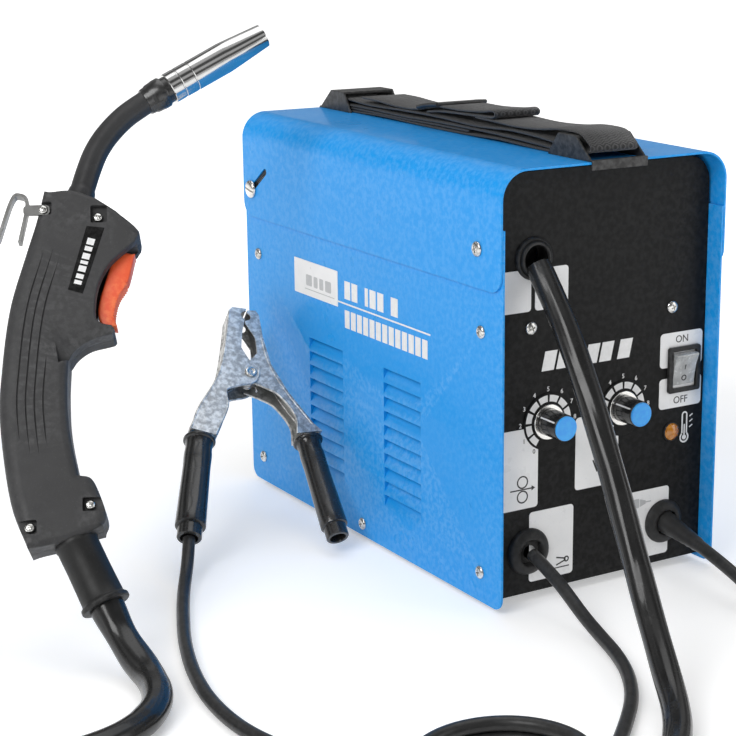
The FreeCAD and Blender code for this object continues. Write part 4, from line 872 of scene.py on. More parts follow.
# ---------------------------------------------------------------- carrying strap
STRAP_HALF = 19.5
STRAP_THICK = 1.5
LOOP = ((-40, 14.6), (-58, 14.2), (-90, 13.4), (-118, 14.6), (-138, 16.8), (-152, 17.4), (-166, 16.6), (-174, 12.4),
        (-178.6, 8.4), (-176.6, 5.6), (-168, 5.2), (-150, 6.6), (-120, 9.0), (-84, 10.0), (-40, 8.4), (10, 9.6),
        (60, 9.4), (110, 8.4), (150, 10.0), (168, 10.6), (175.4, 8.2), (172, 5.4), (150, 5.2), (110, 5.6), (60, 5.0),
        (0, 5.8), (-60, 5.6), (-110, 4.4), (-140, 3.2), (-158, 2.6))
UNDERLAY = ((-150, 0.95), (-110, 1.1), (-70, 2.0), (-30, 1.2), (30, 1.0), (90, 1.8), (130, 1.0), (160, 1.0),
            (171, 1.9), (172.4, 3.1), (164, 3.3), (120, 3.2), (70, 3.0), (20, 3.4), (-30, 3.4))
TAIL = ((122, 13.2), (100, 13.0), (70, 11.6), (44, 12.2), (24, 15.6), (10, 17.4), (-20, 17.6), (-48, 19.4),
        (-60, 21.0), (-64.6, 19.6), (-63, 16.8), (-54, 16.0), (-30, 15.4), (6, 14.0), (26, 12.0))


def ribbon(name, line, half=STRAP_HALF, replaces=()):
    """A woven strip along a line of (y, height over the lid) points, with slightly rounded edges."""
    path = smooth_line([(0, y, LID_TOP + height) for y, height in line], 6)
    flat, thin = STRAP_THICK / 2, STRAP_THICK / 4
    section = [(-half + 0.5, -flat), (half - 0.5, -flat), (half, -thin), (half, thin),
               (half - 0.5, flat), (-half + 0.5, flat), (-half, thin), (-half, -thin)]
    work = bmesh.new()
    sweep(work, path, lambda share: section, (1, 0, 0))
    piece(name, work, "webbing", "lid", replaces, angle=50)


def rod(work, radius, *points):
    """A round rod over the lid; its points are (x, y, height over the lid)."""
    line = [Vector((x, y, LID_TOP + height)) for x, y, height in points]
    if points[0][0] == points[-1][0]:
        sweep(work, smooth_line(line, 5), round_section(radius), (1, 0, 0))
    else:
        sweep(work, [line[0], (line[0] + line[1]) / 2, line[1]], round_section(radius), (0, 1, 0))


def slider():
    """The flat ladder buckle: two side rails and three bars, one of them bright."""
    rails = bmesh.new()
    reach = STRAP_HALF + 1.6
    for x in (-reach, reach):
        rod(rails, 1.5, (x, 36, 14.6), (x, 24, 17.2), (x, 8, 19.0))
    for y, height in ((36, 14.6), (8, 19.0)):
        rod(rails, 1.4, (-reach, y, height), (reach, y, height))
    piece("slider_frame", rails, "plug_plastic", "lid")
    bar = bmesh.new()
    rod(bar, 1.3, (-reach - 1.0, 24, 17.4), (reach + 1.0, 24, 17.4))
    piece("slider_bar", bar, "hook_steel", "lid")


ribbon("strap_loop", LOOP, replaces=("carry_strap",))
ribbon("strap_underlay", UNDERLAY, STRAP_HALF - 0.6)
ribbon("strap_tail", TAIL)
slider()

# ---------------------------------------------------------------- torch
VIEW_AZIMUTH = -33.57
VIEW_ELEVATION = 14.56
TORCH_FOOT = Vector((6.36, 2.86, 0))
TORCH_MOUTH = Vector((141.9, 364.1, 0))
TORCH_FOOT_AT = Vector((-350.1, -82.1, 74.0))
TORCH_MOUTH_AT = Vector((-143.8, 44.6, 374.5))
BOOT_AXIS = Vector((18.64, -43.56, 0)).normalized()
BOOT_LENGTH = 47.4
HALF_THICK = 15.0
HANDLE_OUTLINE = (
    ((-21.6, -4.4), (-33, 28.4), (-39.6, 82.4), (-38.2, 118), (-33, 159.5), (-23.2, 195.6), (-9.3, 241.4)),
    ((-9.3, 241.4), (8, 242.5), (23.6, 236.6)),
    ((23.6, 236.6), (40, 224), (52.2, 211.1), (49.5, 203)),
    ((49.5, 203), (33, 188), (24.8, 172), (22.5, 153), (25.5, 146), (33, 143.5)),
    ((33, 143.5), (34.6, 141), (33.2, 138.4)),
    ((33.2, 138.4), (18.1, 134.5), (9.2, 128.3), (4.7, 121.7)),
    ((4.7, 121.7), (3.7, 100), (4.7, 74.3), (10, 43)),
    ((10, 43), (18, 40.3), (23.2, 29.2), (26.9, 15.2), (24.4, 8)),
    ((24.4, 8), (2, 0.2), (-21.6, -4.4)))
HANDLE_SCREWS = ((25.3, 221.8), (-10.4, 229.0), (-20.5, 9.5), (17.0, 22.5))
TRIGGER_OUTLINE = ((48.8, 197), (43.8, 177.4), (37.5, 166.3), (34.6, 154), (36, 145.5), (26, 147.5), (24, 160),
                   (31, 185), (37, 198.5))
NAME_STRIP = ((18.1, 214.9), (29.8, 213.1), (14.8, 166.3), (5.3, 169.6))
NECK = ((10.2, 232, 0), (13.9, 246, 0), (18.6, 262, 0), (24.3, 277, 0), (32.66, 290.4, 0), (44.4, 303.2, 0),
        (58.6, 313.9, 0))
CUFF_SHARE = 0.20
NOZZLE_REACH = 97.3


def view_direction():
    """The direction in which the machine is mostly looked at."""
    turn = math.radians(VIEW_AZIMUTH)
    dip = math.radians(VIEW_ELEVATION)
    return Vector((-math.sin(turn) * math.cos(dip), math.cos(turn) * math.cos(dip), -math.sin(dip)))


def torch_frame():
    """Stands the flat torch between the two points that its foot and its mouth reach."""
    chord = (TORCH_MOUTH_AT - TORCH_FOOT_AT).normalized()
    inward = view_direction()
    across = (inward - chord * inward.dot(chord)).normalized().cross(chord)
    flat = (TORCH_MOUTH - TORCH_FOOT).normalized()
    u = chord * flat.x + across * flat.y
    v = chord * flat.y - across * flat.x
    turn = Matrix((u, v, u.cross(v))).transposed()
    return Matrix.Translation(TORCH_FOOT_AT - turn @ TORCH_FOOT) @ turn.to_4x4()


TORCH = torch_frame()
MIRROR = Matrix.Diagonal((1, 1, -1, 1))


def flat_line(points, per_span):
    """A smooth line through points in the torch's own plane."""
    return smooth_line([(x, y, 0) for x, y in points], per_span)


def dense_outline(segments, per_span):
    """One closed outline from smooth segments, without repeated points."""
    points = []
    for segment in segments:
        points += flat_line(segment, per_span)[:-1]
    return [Vector((p.x, p.y)) for p in points]


def distance_to(outline, point):
    """How far a point is from the nearest side of an outline."""
    best = 1e9
    for a, b in zip(outline, outline[1:] + outline[:1]):
        side = b - a
        share = max(0.0, min(1.0, (point - a).dot(side) / max(side.length_squared, 1e-9)))
        best = min(best, (a + side * share - point).length)
    return best


def pillow(work, outline, high, reach_at, flatness, steps, base):
    """A slab with a rounded upper edge; reach_at gives the rounding's width at a point."""
    signed = sum(a.x * b.y - a.y * b.x for a, b in zip(outline, outline[1:] + outline[:1]))
    inside = 1 if signed > 0 else -1
    normals = []
    for before, point, after in zip(outline[-1:] + outline[:-1], outline, outline[1:] + outline[:1]):
        ahead = (after - before).normalized()
        normals.append(Vector((-ahead.y, ahead.x)) * inside)
    limits = []
    for point, normal in zip(outline, normals):
        reach = reach_at(point)
        limit = reach
        for trial in range(1, 9):
            depth = reach * trial / 8
            if distance_to(outline, point + normal * depth) < depth * 0.93:
                limit = reach * (trial - 1) / 8
                break
        limits.append(limit)
    count = len(limits)
    for _ in range(3):
        limits = [min(limits[k], (limits[k - 1] + limits[k] + limits[(k + 1) % count]) / 3 + 0.6)
                  for k in range(count)]
    rings = [[work.verts.new((p.x, p.y, base)) for p in outline]]
    for step in range(steps + 1):
        share = 1 - math.cos(math.pi / 2 * step / steps)
        sunk = flatness * (1 - math.sin(math.pi / 2 * step / steps))
        rings.append([work.verts.new((*(p + n * (limit * share)), high - limit * sunk))
                      for p, n, limit in zip(outline, normals, limits)])
    for lower, upper in zip(rings, rings[1:]):
        bridge(work, lower, upper)
    bmesh.ops.triangulate(work, faces=[work.faces.new(rings[-1]), work.faces.new(rings[0])])


def handle_grooves():
    """Fine grooves that follow the back of the handle and fade out at both ends."""
    cutter = bmesh.new()
    back = flat_line(HANDLE_OUTLINE[0], 10)
    for inset, start, end in ((12.0, 62, 203), (17.5, 55, 207), (23.0, 52, 200), (28.5, 60, 128)):
        line = []
        for before, point, after in zip(back, back[1:], back[2:]):
            ahead = (after - before).normalized()
            if start < point.y < end:
                share = (point.y - start) / (end - start)
                depth = 0.75 * min(1.0, 6 * share, 6 * (1 - share)) + 0.02
                inward = Vector((ahead.y, -ahead.x, 0)) * inset
                line.append(point + inward + Vector((0, 0, HALF_THICK - depth)))
        sweep(cutter, line, lambda share: [(-0.8, -1.1), (0, 0), (0.8, -1.1)], (1, 0, 0))
    cutter.transform(TORCH)
    return cutter


def guard_bevel():
    """The hollow slope under the ridge of the trigger guard."""
    cutter = bmesh.new()
    ridge = ((-3.5, 133.5), (-0.9, 137.3), (4.7, 142.9), (17, 145.6), (37, 145.6))
    lower = ((-1.5, 119), (7.5, 122), (12, 128), (19, 132), (38, 136.0))
    rows = [[cutter.verts.new((x, y, w)) for x, y in points]
            for points, w in ((ridge, 15.2), (ridge, 20), (lower, 20), (lower, 9.8))]
    for a, b in zip(rows, rows[1:] + rows[:1]):
        for left in range(len(ridge) - 1):
            cutter.faces.new((a[left], a[left + 1], b[left + 1], b[left]))
    for end in (0, -1):
        cutter.faces.new([row[end] for row in rows])
    bmesh.ops.triangulate(cutter, faces=cutter.faces)
    cutter.transform(TORCH)
    return cutter


def handle_rounding(point):
    """Wide along the back, narrower in front, and crisp round the trigger."""
    if point.x > 19 and 141 < point.y < 207:
        return 1.3
    if point.y > 226 or point.y < 6:
        return 4.0
    return 10.0 if point.x < -5 else 5.5


def handle():
    """Two moulded halves with a rounded edge, grooves, screw pockets and the trigger's room."""
    half = bmesh.new()
    pillow(half, dense_outline(HANDLE_OUTLINE, 6), HALF_THICK, handle_rounding, 0.8, 7, 0.14)
    half.transform(TORCH)
    near = piece("torch_handle_left_shell", half, "torch_plastic", replaces=("torch_handle_left",), angle=38)
    reaches = ((4.6, 6.4, 4.6, 8.0), (14.0, 5.8, 4.6, 4.8), (14.0, 4.6, 4.6, 4.6), (4.6, 13.0, 4.6, 4.6))
    pockets = [rectangle(u - left, u + right, v - low, v + high, 1.2)
               for (u, v), (left, right, low, high) in zip(HANDLE_SCREWS, reaches)]
    pocket(near, pockets, 11.0, 20, TORCH)
    pocket(near, [((60, 206), (33, 202), (20, 182), (18, 144), (36, 144), (60, 170))], -1, 7.3, TORCH)
    carve(near, guard_bevel())
    carve(near, handle_grooves())
    near.data.set_sharp_from_angle(angle=math.radians(36))
    mirrored = bmesh.new()
    mirrored.from_mesh(near.data)
    mirrored.transform(Matrix.Scale(1 / MM, 4))
    mirrored.transform(TORCH @ MIRROR @ TORCH.inverted())
    far = piece("torch_handle_right_shell", mirrored, "torch_plastic", replaces=("torch_handle_right",), angle=36)
    flatten(near)
    flatten(far)


def name_strip():
    """A black strip on both sides, with blank marks on the near one."""
    strip = bmesh.new()
    for low, high in ((HALF_THICK - 0.1, HALF_THICK + 0.45), (-HALF_THICK - 0.45, -HALF_THICK + 0.1)):
        slab(strip, NAME_STRIP, low, high)
    strip.transform(TORCH)
    piece("torch_name_strip", strip, "name_strip", edge=0.3, slot="torch_plastic")
    marks = bmesh.new()
    foot = Vector((10.2, 168.6))
    line = Vector((23.6, 213.0)) - foot
    for start, length in ((0.10, 0.06), (0.19, 0.07), (0.30, 0.09), (0.42, 0.05), (0.50, 0.09), (0.63, 0.07),
                          (0.73, 0.10)):
        slab(marks, stroke(foot + line * start, foot + line * (start + length), 5.0),
             HALF_THICK + 0.42, HALF_THICK + 0.56)
    marks.transform(TORCH)
    piece("torch_strip_marks", marks, "white_ink", slot="torch_plastic")


def serrated_trigger():
    """A curved lever with fine teeth along the lower half of its front, in two halves."""
    outline = []
    for index, point in enumerate(flat_line(TRIGGER_OUTLINE[:5], 14)[:-1]):
        bite = 0.9 if 147 < point.y < 178 and index % 2 else 0.0
        outline.append(Vector((point.x - bite, point.y)))
    outline += [Vector((p.x, p.y)) for p in flat_line(TRIGGER_OUTLINE[4:] + TRIGGER_OUTLINE[:1], 6)[:-1]]
    for name, matrix, replaces in (("trigger_near", TORCH, ("torch_trigger",)), ("trigger_far", TORCH @ MIRROR, ())):
        lever = bmesh.new()
        pillow(lever, outline, 6.4, lambda point: 1.6, 1.0, 4, 0.0)
        lever.transform(matrix)
        piece(name, lever, "trigger_red", "trigger", replaces, angle=45)


def torch_fasteners():
    """Bright screws in the pockets, and the bent hook with its lug."""
    seats = [TORCH @ seat((u, v, HALF_THICK - 2.6), (0, 0, 1), (1, 0, 0)) for u, v in HANDLE_SCREWS]
    screw_heads("torch_screw_heads", seats, 3.2, 2.0, "torch_screw", ("torch_handle_screws",), (1.4, 1.4))
    hook = bmesh.new()
    line = smooth_line([(u, v, 8.5) for u, v in ((-40.0, 208.7), (-31.5, 236.5), (-26.4, 241.0), (-21.0, 234.5),
                                                 (-26.0, 206.4))], 10)
    flat = [(-1.1, -3.3), (-0.9, -3.5), (0.9, -3.5), (1.1, -3.3), (1.1, 3.3), (0.9, 3.5), (-0.9, 3.5), (-1.1, 3.3)]
    sweep(hook, line, lambda share: flat, (1, 0, 0))
    slab(hook, rectangle(-23.5, -6.2, 225.3, 232.7, 2.8), 11.02, 12.4)
    hook.transform(TORCH)
    piece("torch_hook_strip", hook, "hook_steel", replaces=("torch_hook",), angle=40)


def neck_section(share):
    """A faintly fluted tube, wider at the foot."""
    radius = 8.25 + (1.9 * (1 - share / CUFF_SHARE) ** 0.4 if share < CUFF_SHARE else 0.0)
    flutes = [(radius + 0.10 * math.cos(8 * a), a) for a in (2 * math.pi * k / 48 for k in range(48))]
    return [(reach * math.cos(a), reach * math.sin(a)) for reach, a in flutes]


def torch_neck():
    """The insulated swan neck, the collar, the nozzle and the tip with the wire in it."""
    neck = bmesh.new()
    sweep(neck, smooth_line(NECK, 10), neck_section, (0, 0, 1))
    neck.transform(TORCH)
    piece("neck_sleeve", neck, "neck_rubber", replaces=("torch_neck",), angle=50)
    top = Vector(NECK[-1])
    base = TORCH @ seat(top, (TORCH_MOUTH - top).normalized(), (0, 0, 1))
    collar = turned("collar_body",
                    ((8.0, -0.6), (9.0, -0.4), (9.4, 0.6), (9.7, 3.6), (10.4, 4.6), (10.7, 9.0), (11.0, 10.0),
                     (11.0, 14.4), (10.6, 15.1), (9.6, 15.3), (9.5, 18.9), (4.3, 18.9), (4.3, 12.4)),
                    base, 64, "collar_plastic", replaces=("torch_neck_collar",), angle=40)
    notches = bmesh.new()
    for turn in range(3):
        spin = base @ Matrix.Rotation(2 * math.pi * turn / 3 + 0.6, 4, "Z")
        slab(notches, rectangle(9.9, 14, -3, 3), 1.5, 7.0, spin)
    carve(collar, notches)
    turned("nozzle_shell",
           ((9.5, 18.9), (10.7, 19.05), (11.0, 19.5), (11.0, 26.6), (10.72, 27.0), (10.72, 27.6), (11.0, 28.0),
            (11.0, 36.6), (10.72, 37.0), (10.72, 37.6), (11.0, 38.0), (11.0, 64.0), (10.8, 67.5),
            (8.5, NOZZLE_REACH - 0.8), (8.3, NOZZLE_REACH - 0.15), (8.0, NOZZLE_REACH), (7.3, NOZZLE_REACH - 0.1),
            (7.0, NOZZLE_REACH - 0.8), (9.3, 64.0), (9.3, 19.2)),
           base, 80, "nozzle_chrome", close=False, replaces=("gas_nozzle",), angle=16)
    tip = bmesh.new()
    lathe(tip, ((3.6, 12.2), (4.0, 12.8), (4.0, 72.0), (3.9, 74.2), (2.7, 85.2), (2.2, 86.1), (0.6, 86.1)), base, 40)
    lathe(tip, ((0.5, 85.0), (0.5, 97.5)), base, 16)
    piece("tip_and_wire", tip, "tip_copper", replaces=("contact_tip",), angle=40)


def torch_boot():
    """The matt rubber boot with its thin lip where the hose comes out."""
    profile = [(12.6, -5.6), (13.4, -5.4), (13.4, -0.4), (14.0, 0.6), (14.1, 3.0), (13.6, 4.2), (13.5, 20), (13.7, 34)]
    profile += [(radius, BOOT_LENGTH - inset) for radius, inset in
                ((13.9, 5.4), (14.6, 4.0), (15.7, 3.2), (15.9, 2.4), (15.9, 0.9), (15.5, 0.2), (14.8, 0), (11.4, 0.2),
                 (9.0, 0.2))]
    turned("boot_sleeve", profile, TORCH @ seat(TORCH_FOOT, BOOT_AXIS, (0, 0, 1)), 72, "black_rubber",
           replaces=("torch_hose_boot",), angle=50)


for make_part in (handle, name_strip, serrated_trigger, torch_fasteners, torch_neck, torch_boot):
    make_part()

# ---------------------------------------------------------------- earth clamp
CLAMP = (Matrix.Translation((-138, 97, 110)) @ Matrix.Rotation(math.radians(-3), 4, "Z")
         @ Matrix.Rotation(math.radians(40.5), 4, "X") @ Matrix.Rotation(math.radians(-27.3), 4, "Z"))
FIXED_GRIP = (Vector((-27.4, -67.0, 0)), Vector((-21.4, -154.7, 0)))
MOVING_GRIP = (Vector((52.7, -42.4, 0)), Vector((85.8, -123.6, 0)))
FIXED_EDGE = ((-17.5, -66), (-12.5, -37.1), (-15.4, -21.4), (1.8, -10), (6.2, -3), (6, 6))
FIXED_BACK = ((-36.5, -66), (-35.4, -61.4), (-33.2, -45), (-25.4, -18.6), (-22.5, 2.9), (-23.2, 32.1), (-24.6, 55))
MOVING_EDGE = ((3.4, 38), (13.2, 13.8), (29.8, -8.6), (53.6, -32.8))
SPRING_TURNS = 4
SPRING_RADIUS = 5.5
SPRING_HALF = 4.4
SPRING_WIRE = 0.95
MOVING_INNER = ((43.5, -44.5), (39.6, -28.6), (25.4, -13.6), (13.2, -9.3), (0, -7.5))


def rolled_edges(name, body, lines, half):
    """Turned-over rims along both cheeks of an arm."""
    work = bmesh.new()
    for line in lines:
        for sign in (-1, 1):
            path = smooth_line([(x, y, sign * half) for x, y in line], 6)
            sweep(work, path, round_section(1.0), (0, 0, 1))
    work.transform(CLAMP)
    piece(name, work, "clamp_zinc", body)


def coil_spring():
    """A helical spring round the rivet, with a leg along each arm."""
    spring = bmesh.new()
    helix = []
    for step in range(SPRING_TURNS * 20 + 1):
        angle = math.pi * step / 10 + 3.9
        rise = -SPRING_HALF + 2 * SPRING_HALF * step / (SPRING_TURNS * 20)
        helix.append(Vector((SPRING_RADIUS * math.cos(angle), SPRING_RADIUS * math.sin(angle), rise)))
    lines = [helix]
    for start, end, side in (((-5.0, -3.0), (-17.4, -18.6), -1), ((4.5, -4.5), (7.6, -12.8), 1)):
        start, end = (Vector((*point, side * SPRING_HALF)) for point in (start, end))
        lines.append([start, (start + end) / 2, end])
    for line in lines:
        sweep(spring, line, round_section(SPRING_WIRE), (0, 0, 1))
    spring.transform(CLAMP)
    piece("spring_coils", spring, "spring_steel", replaces=("clamp_spring",))


def rivet():
    """A domed head with a dimple on each cheek."""
    work = bmesh.new()
    lathe(work, ((2.4, -10.9), (2.4, 10.9)), CLAMP, 32)
    for sign in (-1, 1):
        view = CLAMP @ seat((0, 0, sign * 10.0), (0, 0, sign), (1, 0, 0))
        lathe(work, ((4.2, 0.0), (4.65, 0.3), (4.55, 1.0), (3.9, 1.55), (3.0, 1.6), (2.2, 1.25), (1.4, 0.7),
                     (0.4, 0.6)), view, 40)
    piece("rivet_heads", work, "zinc_screws", replaces=("clamp_rivet",), angle=60)


def soft_grip(name, node, body, ends, flange, radius, end_radius, tip_radius, flute_turn):
    """A dipped sleeve with a flange, a long recessed flute and a stepped hollow end."""
    start, end = ends
    axis = (end - start).normalized()
    length = (end - start).length
    base = seat(start, axis, (0, 0, 1))

    def flute(angle, height):
        if not 16 < height < length - 20:
            return 1.0
        near = math.cos(angle - flute_turn)
        return 1.0 - 0.07 * max(0.0, near) ** 6 * min(1.0, (height - 16) / 6, (length - 20 - height) / 6)

    profile = [(flange - 1.4, 0.0), (flange - 0.4, 0.2), (flange, 0.9), (flange, 2.1), (flange - 0.5, 2.9),
               (radius + 0.6, 3.3), (radius + 0.1, 4.6)]
    for step in range(1, 15):
        share = step / 14
        swell = 0.5 * math.exp(-((share - 0.16) / 0.07) ** 2)
        profile.append((radius + (end_radius - radius) * share + swell - 0.3, 4.6 + (length - 15.6) * share))
    profile += [(end_radius - 0.5, length - 10.2), (tip_radius, length - 9.6), (tip_radius, length - 0.7),
                (tip_radius - 0.6, length), (tip_radius - 2.4, length), (tip_radius - 2.8, length - 0.8),
                (tip_radius - 2.8, length - 7)]
    turned(name, profile, CLAMP @ base, 72, "clamp_grip", body, wave=flute, replaces=(node,), angle=40)


rolled_edges("fixed_arm_rims", "case", (FIXED_EDGE, FIXED_BACK), 9.2)
rolled_edges("moving_arm_rims", "clamp_jaw", (MOVING_EDGE, MOVING_INNER), 7.8)
coil_spring()
rivet()
soft_grip("fixed_grip_sleeve", "clamp_fixed_grip", "case", FIXED_GRIP, 12.0, 10.0, 11.5, 9.0, 0.35)
soft_grip("moving_grip_sleeve", "clamp_moving_grip", "clamp_jaw", MOVING_GRIP, 11.5, 9.0, 10.5, 8.5, 0.2)

# ---------------------------------------------------------------- hose and cables
CABLE_SIZE = 9.0
TORCH_HOSE = ((-58.5, -176, 236), (-59, -198, 214.5), (-60.5, -227, 178), (-63, -256, 137), (-68, -286, 94.5),
              (-76, -318, 55), (-88, -354, 24), (-108, -393, 10.5), (-140, -428, 9), (-180, -455, 9), (-222, -470, 9),
              (-262, -472, 9), (-300, -464, 10), (-338, -450, 17), (-380, -435, 28), (-420, -425.5, 28))
TORCH_HOSE_TAIL = ((-341.8, -120.4, 29.4), (-340.2, -130, 21.2), (-338.9, -142, 14.6), (-338.4, -156, 10.6),
                   (-339.6, -171, 9.1), (-344, -189, 9), (-353, -208, 9), (-371, -227, 9), (-396, -239.5, 9))
GROUND_CABLE = ((-61, -176, 36.5), (-61, -195, 30.5), (-61, -214, 22.6), (-61.5, -235, 12), (-64, -258, 5.8),
                (-71, -284, 4.6), (-84, -314, 4.5), (-104, -344, 4.5), (-130, -371, 4.5), (-158, -397, 4.5),
                (-184, -425, 4.5), (-210, -442.5, 4.5))
GROUND_CABLE_TAIL = ((-240, -7.5, 15.9), (-249.6, -23.6, 9.2), (-262, -46.5, 5.6), (-277, -79, 4.6),
                     (-294, -118, 4.5), (-310, -165, 4.5), (-320, -212, 4.5), (-321, -258, 4.5), (-312, -302, 6),
                     (-299, -342, 12), (-289, -374, 20))
MAINS_CABLE = ((56.5, -176, 36.8), (56.5, -198, 33.2), (56.6, -222, 28.4), (57, -247, 21.8), (58, -270, 13.4),
               (60.5, -292, 6.9), (68, -312, 4.7), (82, -328, 4.5), (101, -338.5, 4.5), (123, -342.5, 4.5),
               (147, -341.5, 4.5))
HOSE_COIL = (-440.0, -345.0)
GROUND_COIL = (-235.0, -397.0)
MAINS_COIL = (172.0, -292.0)
HOSE_SPACING = 3.0
HOSE_SIDES = 36


def turns(centre, start, sweep_angle, radii, heights):
    """Points round a coil, sixteen to a turn; angles are in degrees."""
    count = max(2, round(abs(sweep_angle) / 22.5))
    points = []
    for step in range(count + 1):
        share = step / count
        angle = math.radians(start + sweep_angle * share)
        radius = radii[0] + (radii[1] - radii[0]) * share
        height = heights[0] + (heights[1] - heights[0]) * share
        points.append((centre[0] + radius * math.cos(angle), centre[1] + radius * math.sin(angle), height))
    return points


def hose_route():
    """From the front, one open turn on the floor, and up into the torch's boot."""
    boot = TORCH @ (TORCH_FOOT + BOOT_AXIS * BOOT_LENGTH)
    coiled = turns(HOSE_COIL, 250, -160 - 360, (102 - 19 * 520 / 360, 102), (9, 9))
    return list(TORCH_HOSE) + coiled + list(reversed(TORCH_HOSE_TAIL)) + [tuple(boot)]


def ground_route():
    """From the front, a stacked coil on the floor, and back to the clamp's grip."""
    grip_end = CLAMP @ FIXED_GRIP[1]
    coiled = turns(GROUND_COIL, -90, -810, (50, 50), (4.6, 25.4))
    return list(GROUND_CABLE) + coiled + list(reversed(GROUND_CABLE_TAIL)) + [tuple(grip_end)]


def mains_route():
    """From the front into a coil, and round it once more down to the plug."""
    inner = turns(MAINS_COIL, -90, 1035, (44, 44), (4.6, 33))
    last = math.degrees(math.atan2(-44, 30))
    outer = turns(MAINS_COIL, -33, 360 + last + 33, (53, 53.6), (33.4, 19))
    return list(MAINS_CABLE) + inner + outer


def nurbs(name, points, thickness):
    """A smooth line through space, thick as the cord."""
    curve = bpy.data.curves.new(name, "CURVE")
    curve.dimensions = "3D"
    spline = curve.splines.new("NURBS")
    spline.points.add(len(points) - 1)
    for target, point in zip(spline.points, points):
        target.co = (*(Vector(point) * MM), 1)
    spline.order_u = 3
    spline.use_endpoint_u = True
    spline.resolution_u = 6
    curve.bevel_depth = thickness / 2 * MM
    curve.bevel_resolution = 7
    curve.use_fill_caps = thickness > 0
    return place(name, curve)


def centreline(points, spacing):
    """The evaluated line of a route, in millimetres, at an even spacing."""
    helper = nurbs("route", points, 0)
    mesh = bpy.data.meshes.new_from_object(helper)
    line = [v.co / MM for v in mesh.vertices]
    bpy.data.objects.remove(helper)
    bpy.data.meshes.remove(mesh)
    even = [line[0]]
    walked = 0.0
    for a, b in zip(line, line[1:]):
        step = (b - a).length
        while walked + step >= spacing * len(even):
            even.append(a + (b - a) * ((spacing * len(even) - walked) / step))
        walked += step
    return even + [line[-1]], walked


def hose_radius(distance, remaining, angle):
    """The sleeve's own shape: slack and full at the torch, creased along its length."""
    radius = 8.75
    if remaining < 130:
        share = remaining / 130
        radius = 10.6 - 1.6 * share + 0.55 * math.cos(remaining / 45 * 2 * math.pi) * (1 - share)
    twist = distance / 34.0
    for depth, width, place_at in ((0.5, 0.20, 2.2 + 0.35 * math.sin(twist)),
                                   (0.4, 0.24, -0.8 - 0.5 * math.sin(twist * 0.7 + 1))):
        radius -= depth * math.exp(-(math.remainder(angle - place_at, 2 * math.pi) / width) ** 2)
    return radius + 0.10 * math.sin(distance / 9 + 2 * angle) + 0.08 * math.sin(distance / 21 - 3 * angle)


def hose_tube():
    """The torch's hose as one creased sleeve that lies on the floor."""
    line, length = centreline(hose_route(), HOSE_SPACING)
    travelled = [min(length, HOSE_SPACING * index) for index in range(len(line))]

    def section(share):
        distance = travelled[round(share * (len(line) - 1))]
        radii = [(hose_radius(distance, length - distance, angle), angle)
                 for angle in (2 * math.pi * step / HOSE_SIDES for step in range(HOSE_SIDES))]
        return [(radius * math.cos(angle), radius * math.sin(angle)) for radius, angle in radii]

    tube = bmesh.new()
    sweep(tube, line, section, (1, 0, 0))
    for vert in tube.verts:
        vert.co.z = max(vert.co.z, 0.05)
    obj = piece("torch_hose_sleeve", tube, "hose_sleeve", angle=60,
                replaces=("torch_hose", "torch_hose_coil", "torch_hose_tail"))


def cable(name, route, nodes, with_pieces=()):
    """A round cable along its route; the pieces that sit on it are passed in but not used."""
    obj = nurbs(name, route, CABLE_SIZE)
    obj.data.materials.append(FINISHES["cable_rubber"])
    length = centreline(route, 4.0)[1]
    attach(obj, "case")
    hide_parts(*nodes)


def mains_relief():
    """The moulded cone that eases the mains cable out of the machine."""
    line, _ = centreline(MAINS_CABLE, 3.0)
    line = [line[0] + Vector((0, 6, 1))] + line[:14]
    cone = bmesh.new()

    def section(share):
        ribbed = 0.35 * (1 if int(share * 15) % 2 else 0) * (share > 0.25)
        return round_section(8.2 - 3.4 * share - ribbed, 32)(share)

    sweep(cone, line, section, (1, 0, 0))
    return piece("mains_relief", cone, "cable_rubber", angle=60)


def plug_shape():
    """An earthed plug: ribbed relief, waisted body, flat face with a socket rim and two pins."""
    view = seat((MAINS_COIL[0] + 30, MAINS_COIL[1] - 44, 19.0), (1, 0, 0), (0, 0, 1))
    profile = [(4.7, 0.2), (6.0, 0.4)]
    for index in range(5):
        start = 1.6 + 2.8 * index
        radius = 6.2 + 0.55 * index
        profile += [(radius, start), (radius, start + 1.5), (radius - 0.8, start + 1.7), (radius - 0.8, start + 2.6)]
    profile += [(10.5, 16.2), (13.4, 18.6), (14.0, 24.0), (13.2, 31.0), (13.6, 38.0), (15.4, 41.6), (18.4, 42.6),
                (19.0, 44.0), (19.0, 56.6), (18.4, 58.4), (17.2, 58.8), (16.6, 57.6), (4.0, 57.6)]
    shell = turned("plug_body", profile, view, 72, "plug_plastic", replaces=("mains_plug",), angle=40)
    pocket(shell, [rectangle(-4, 4, side - 2, side + 2, 0.8) for side in (-17.2, 17.2)], 43.5, 60, view)
    pins = bmesh.new()
    for side in (-9.5, 9.5):
        lathe(pins, ((2.4, 56.8), (2.4, 75.6), (2.1, 76.8), (1.2, 77.4), (0.3, 77.5)),
              view @ Matrix.Translation((0, side, 0)), 28)
    return shell, piece("plug_pins", pins, "latch_metal", slot="plug_plastic", angle=40)


hose_tube()
cable("ground_lead", ground_route(), ("ground_cable", "ground_cable_coil", "ground_cable_tail"))
cable("mains_lead", mains_route(), ("mains_cable", "mains_cable_coil"), [mains_relief(), *plug_shape()])

# ---------------------------------------------------------------- studio
CAMERA_ROLL = 0.21
ROOM_SHADES = ((0.0, 0.95), (0.14, 0.90), (0.20, 0.14), (0.36, 0.10), (0.44, 0.85), (0.60, 0.90), (0.68, 0.12),
               (0.82, 0.12), (0.90, 0.9), (1.0, 1.0))
ROOM_STRENGTH = 0.62


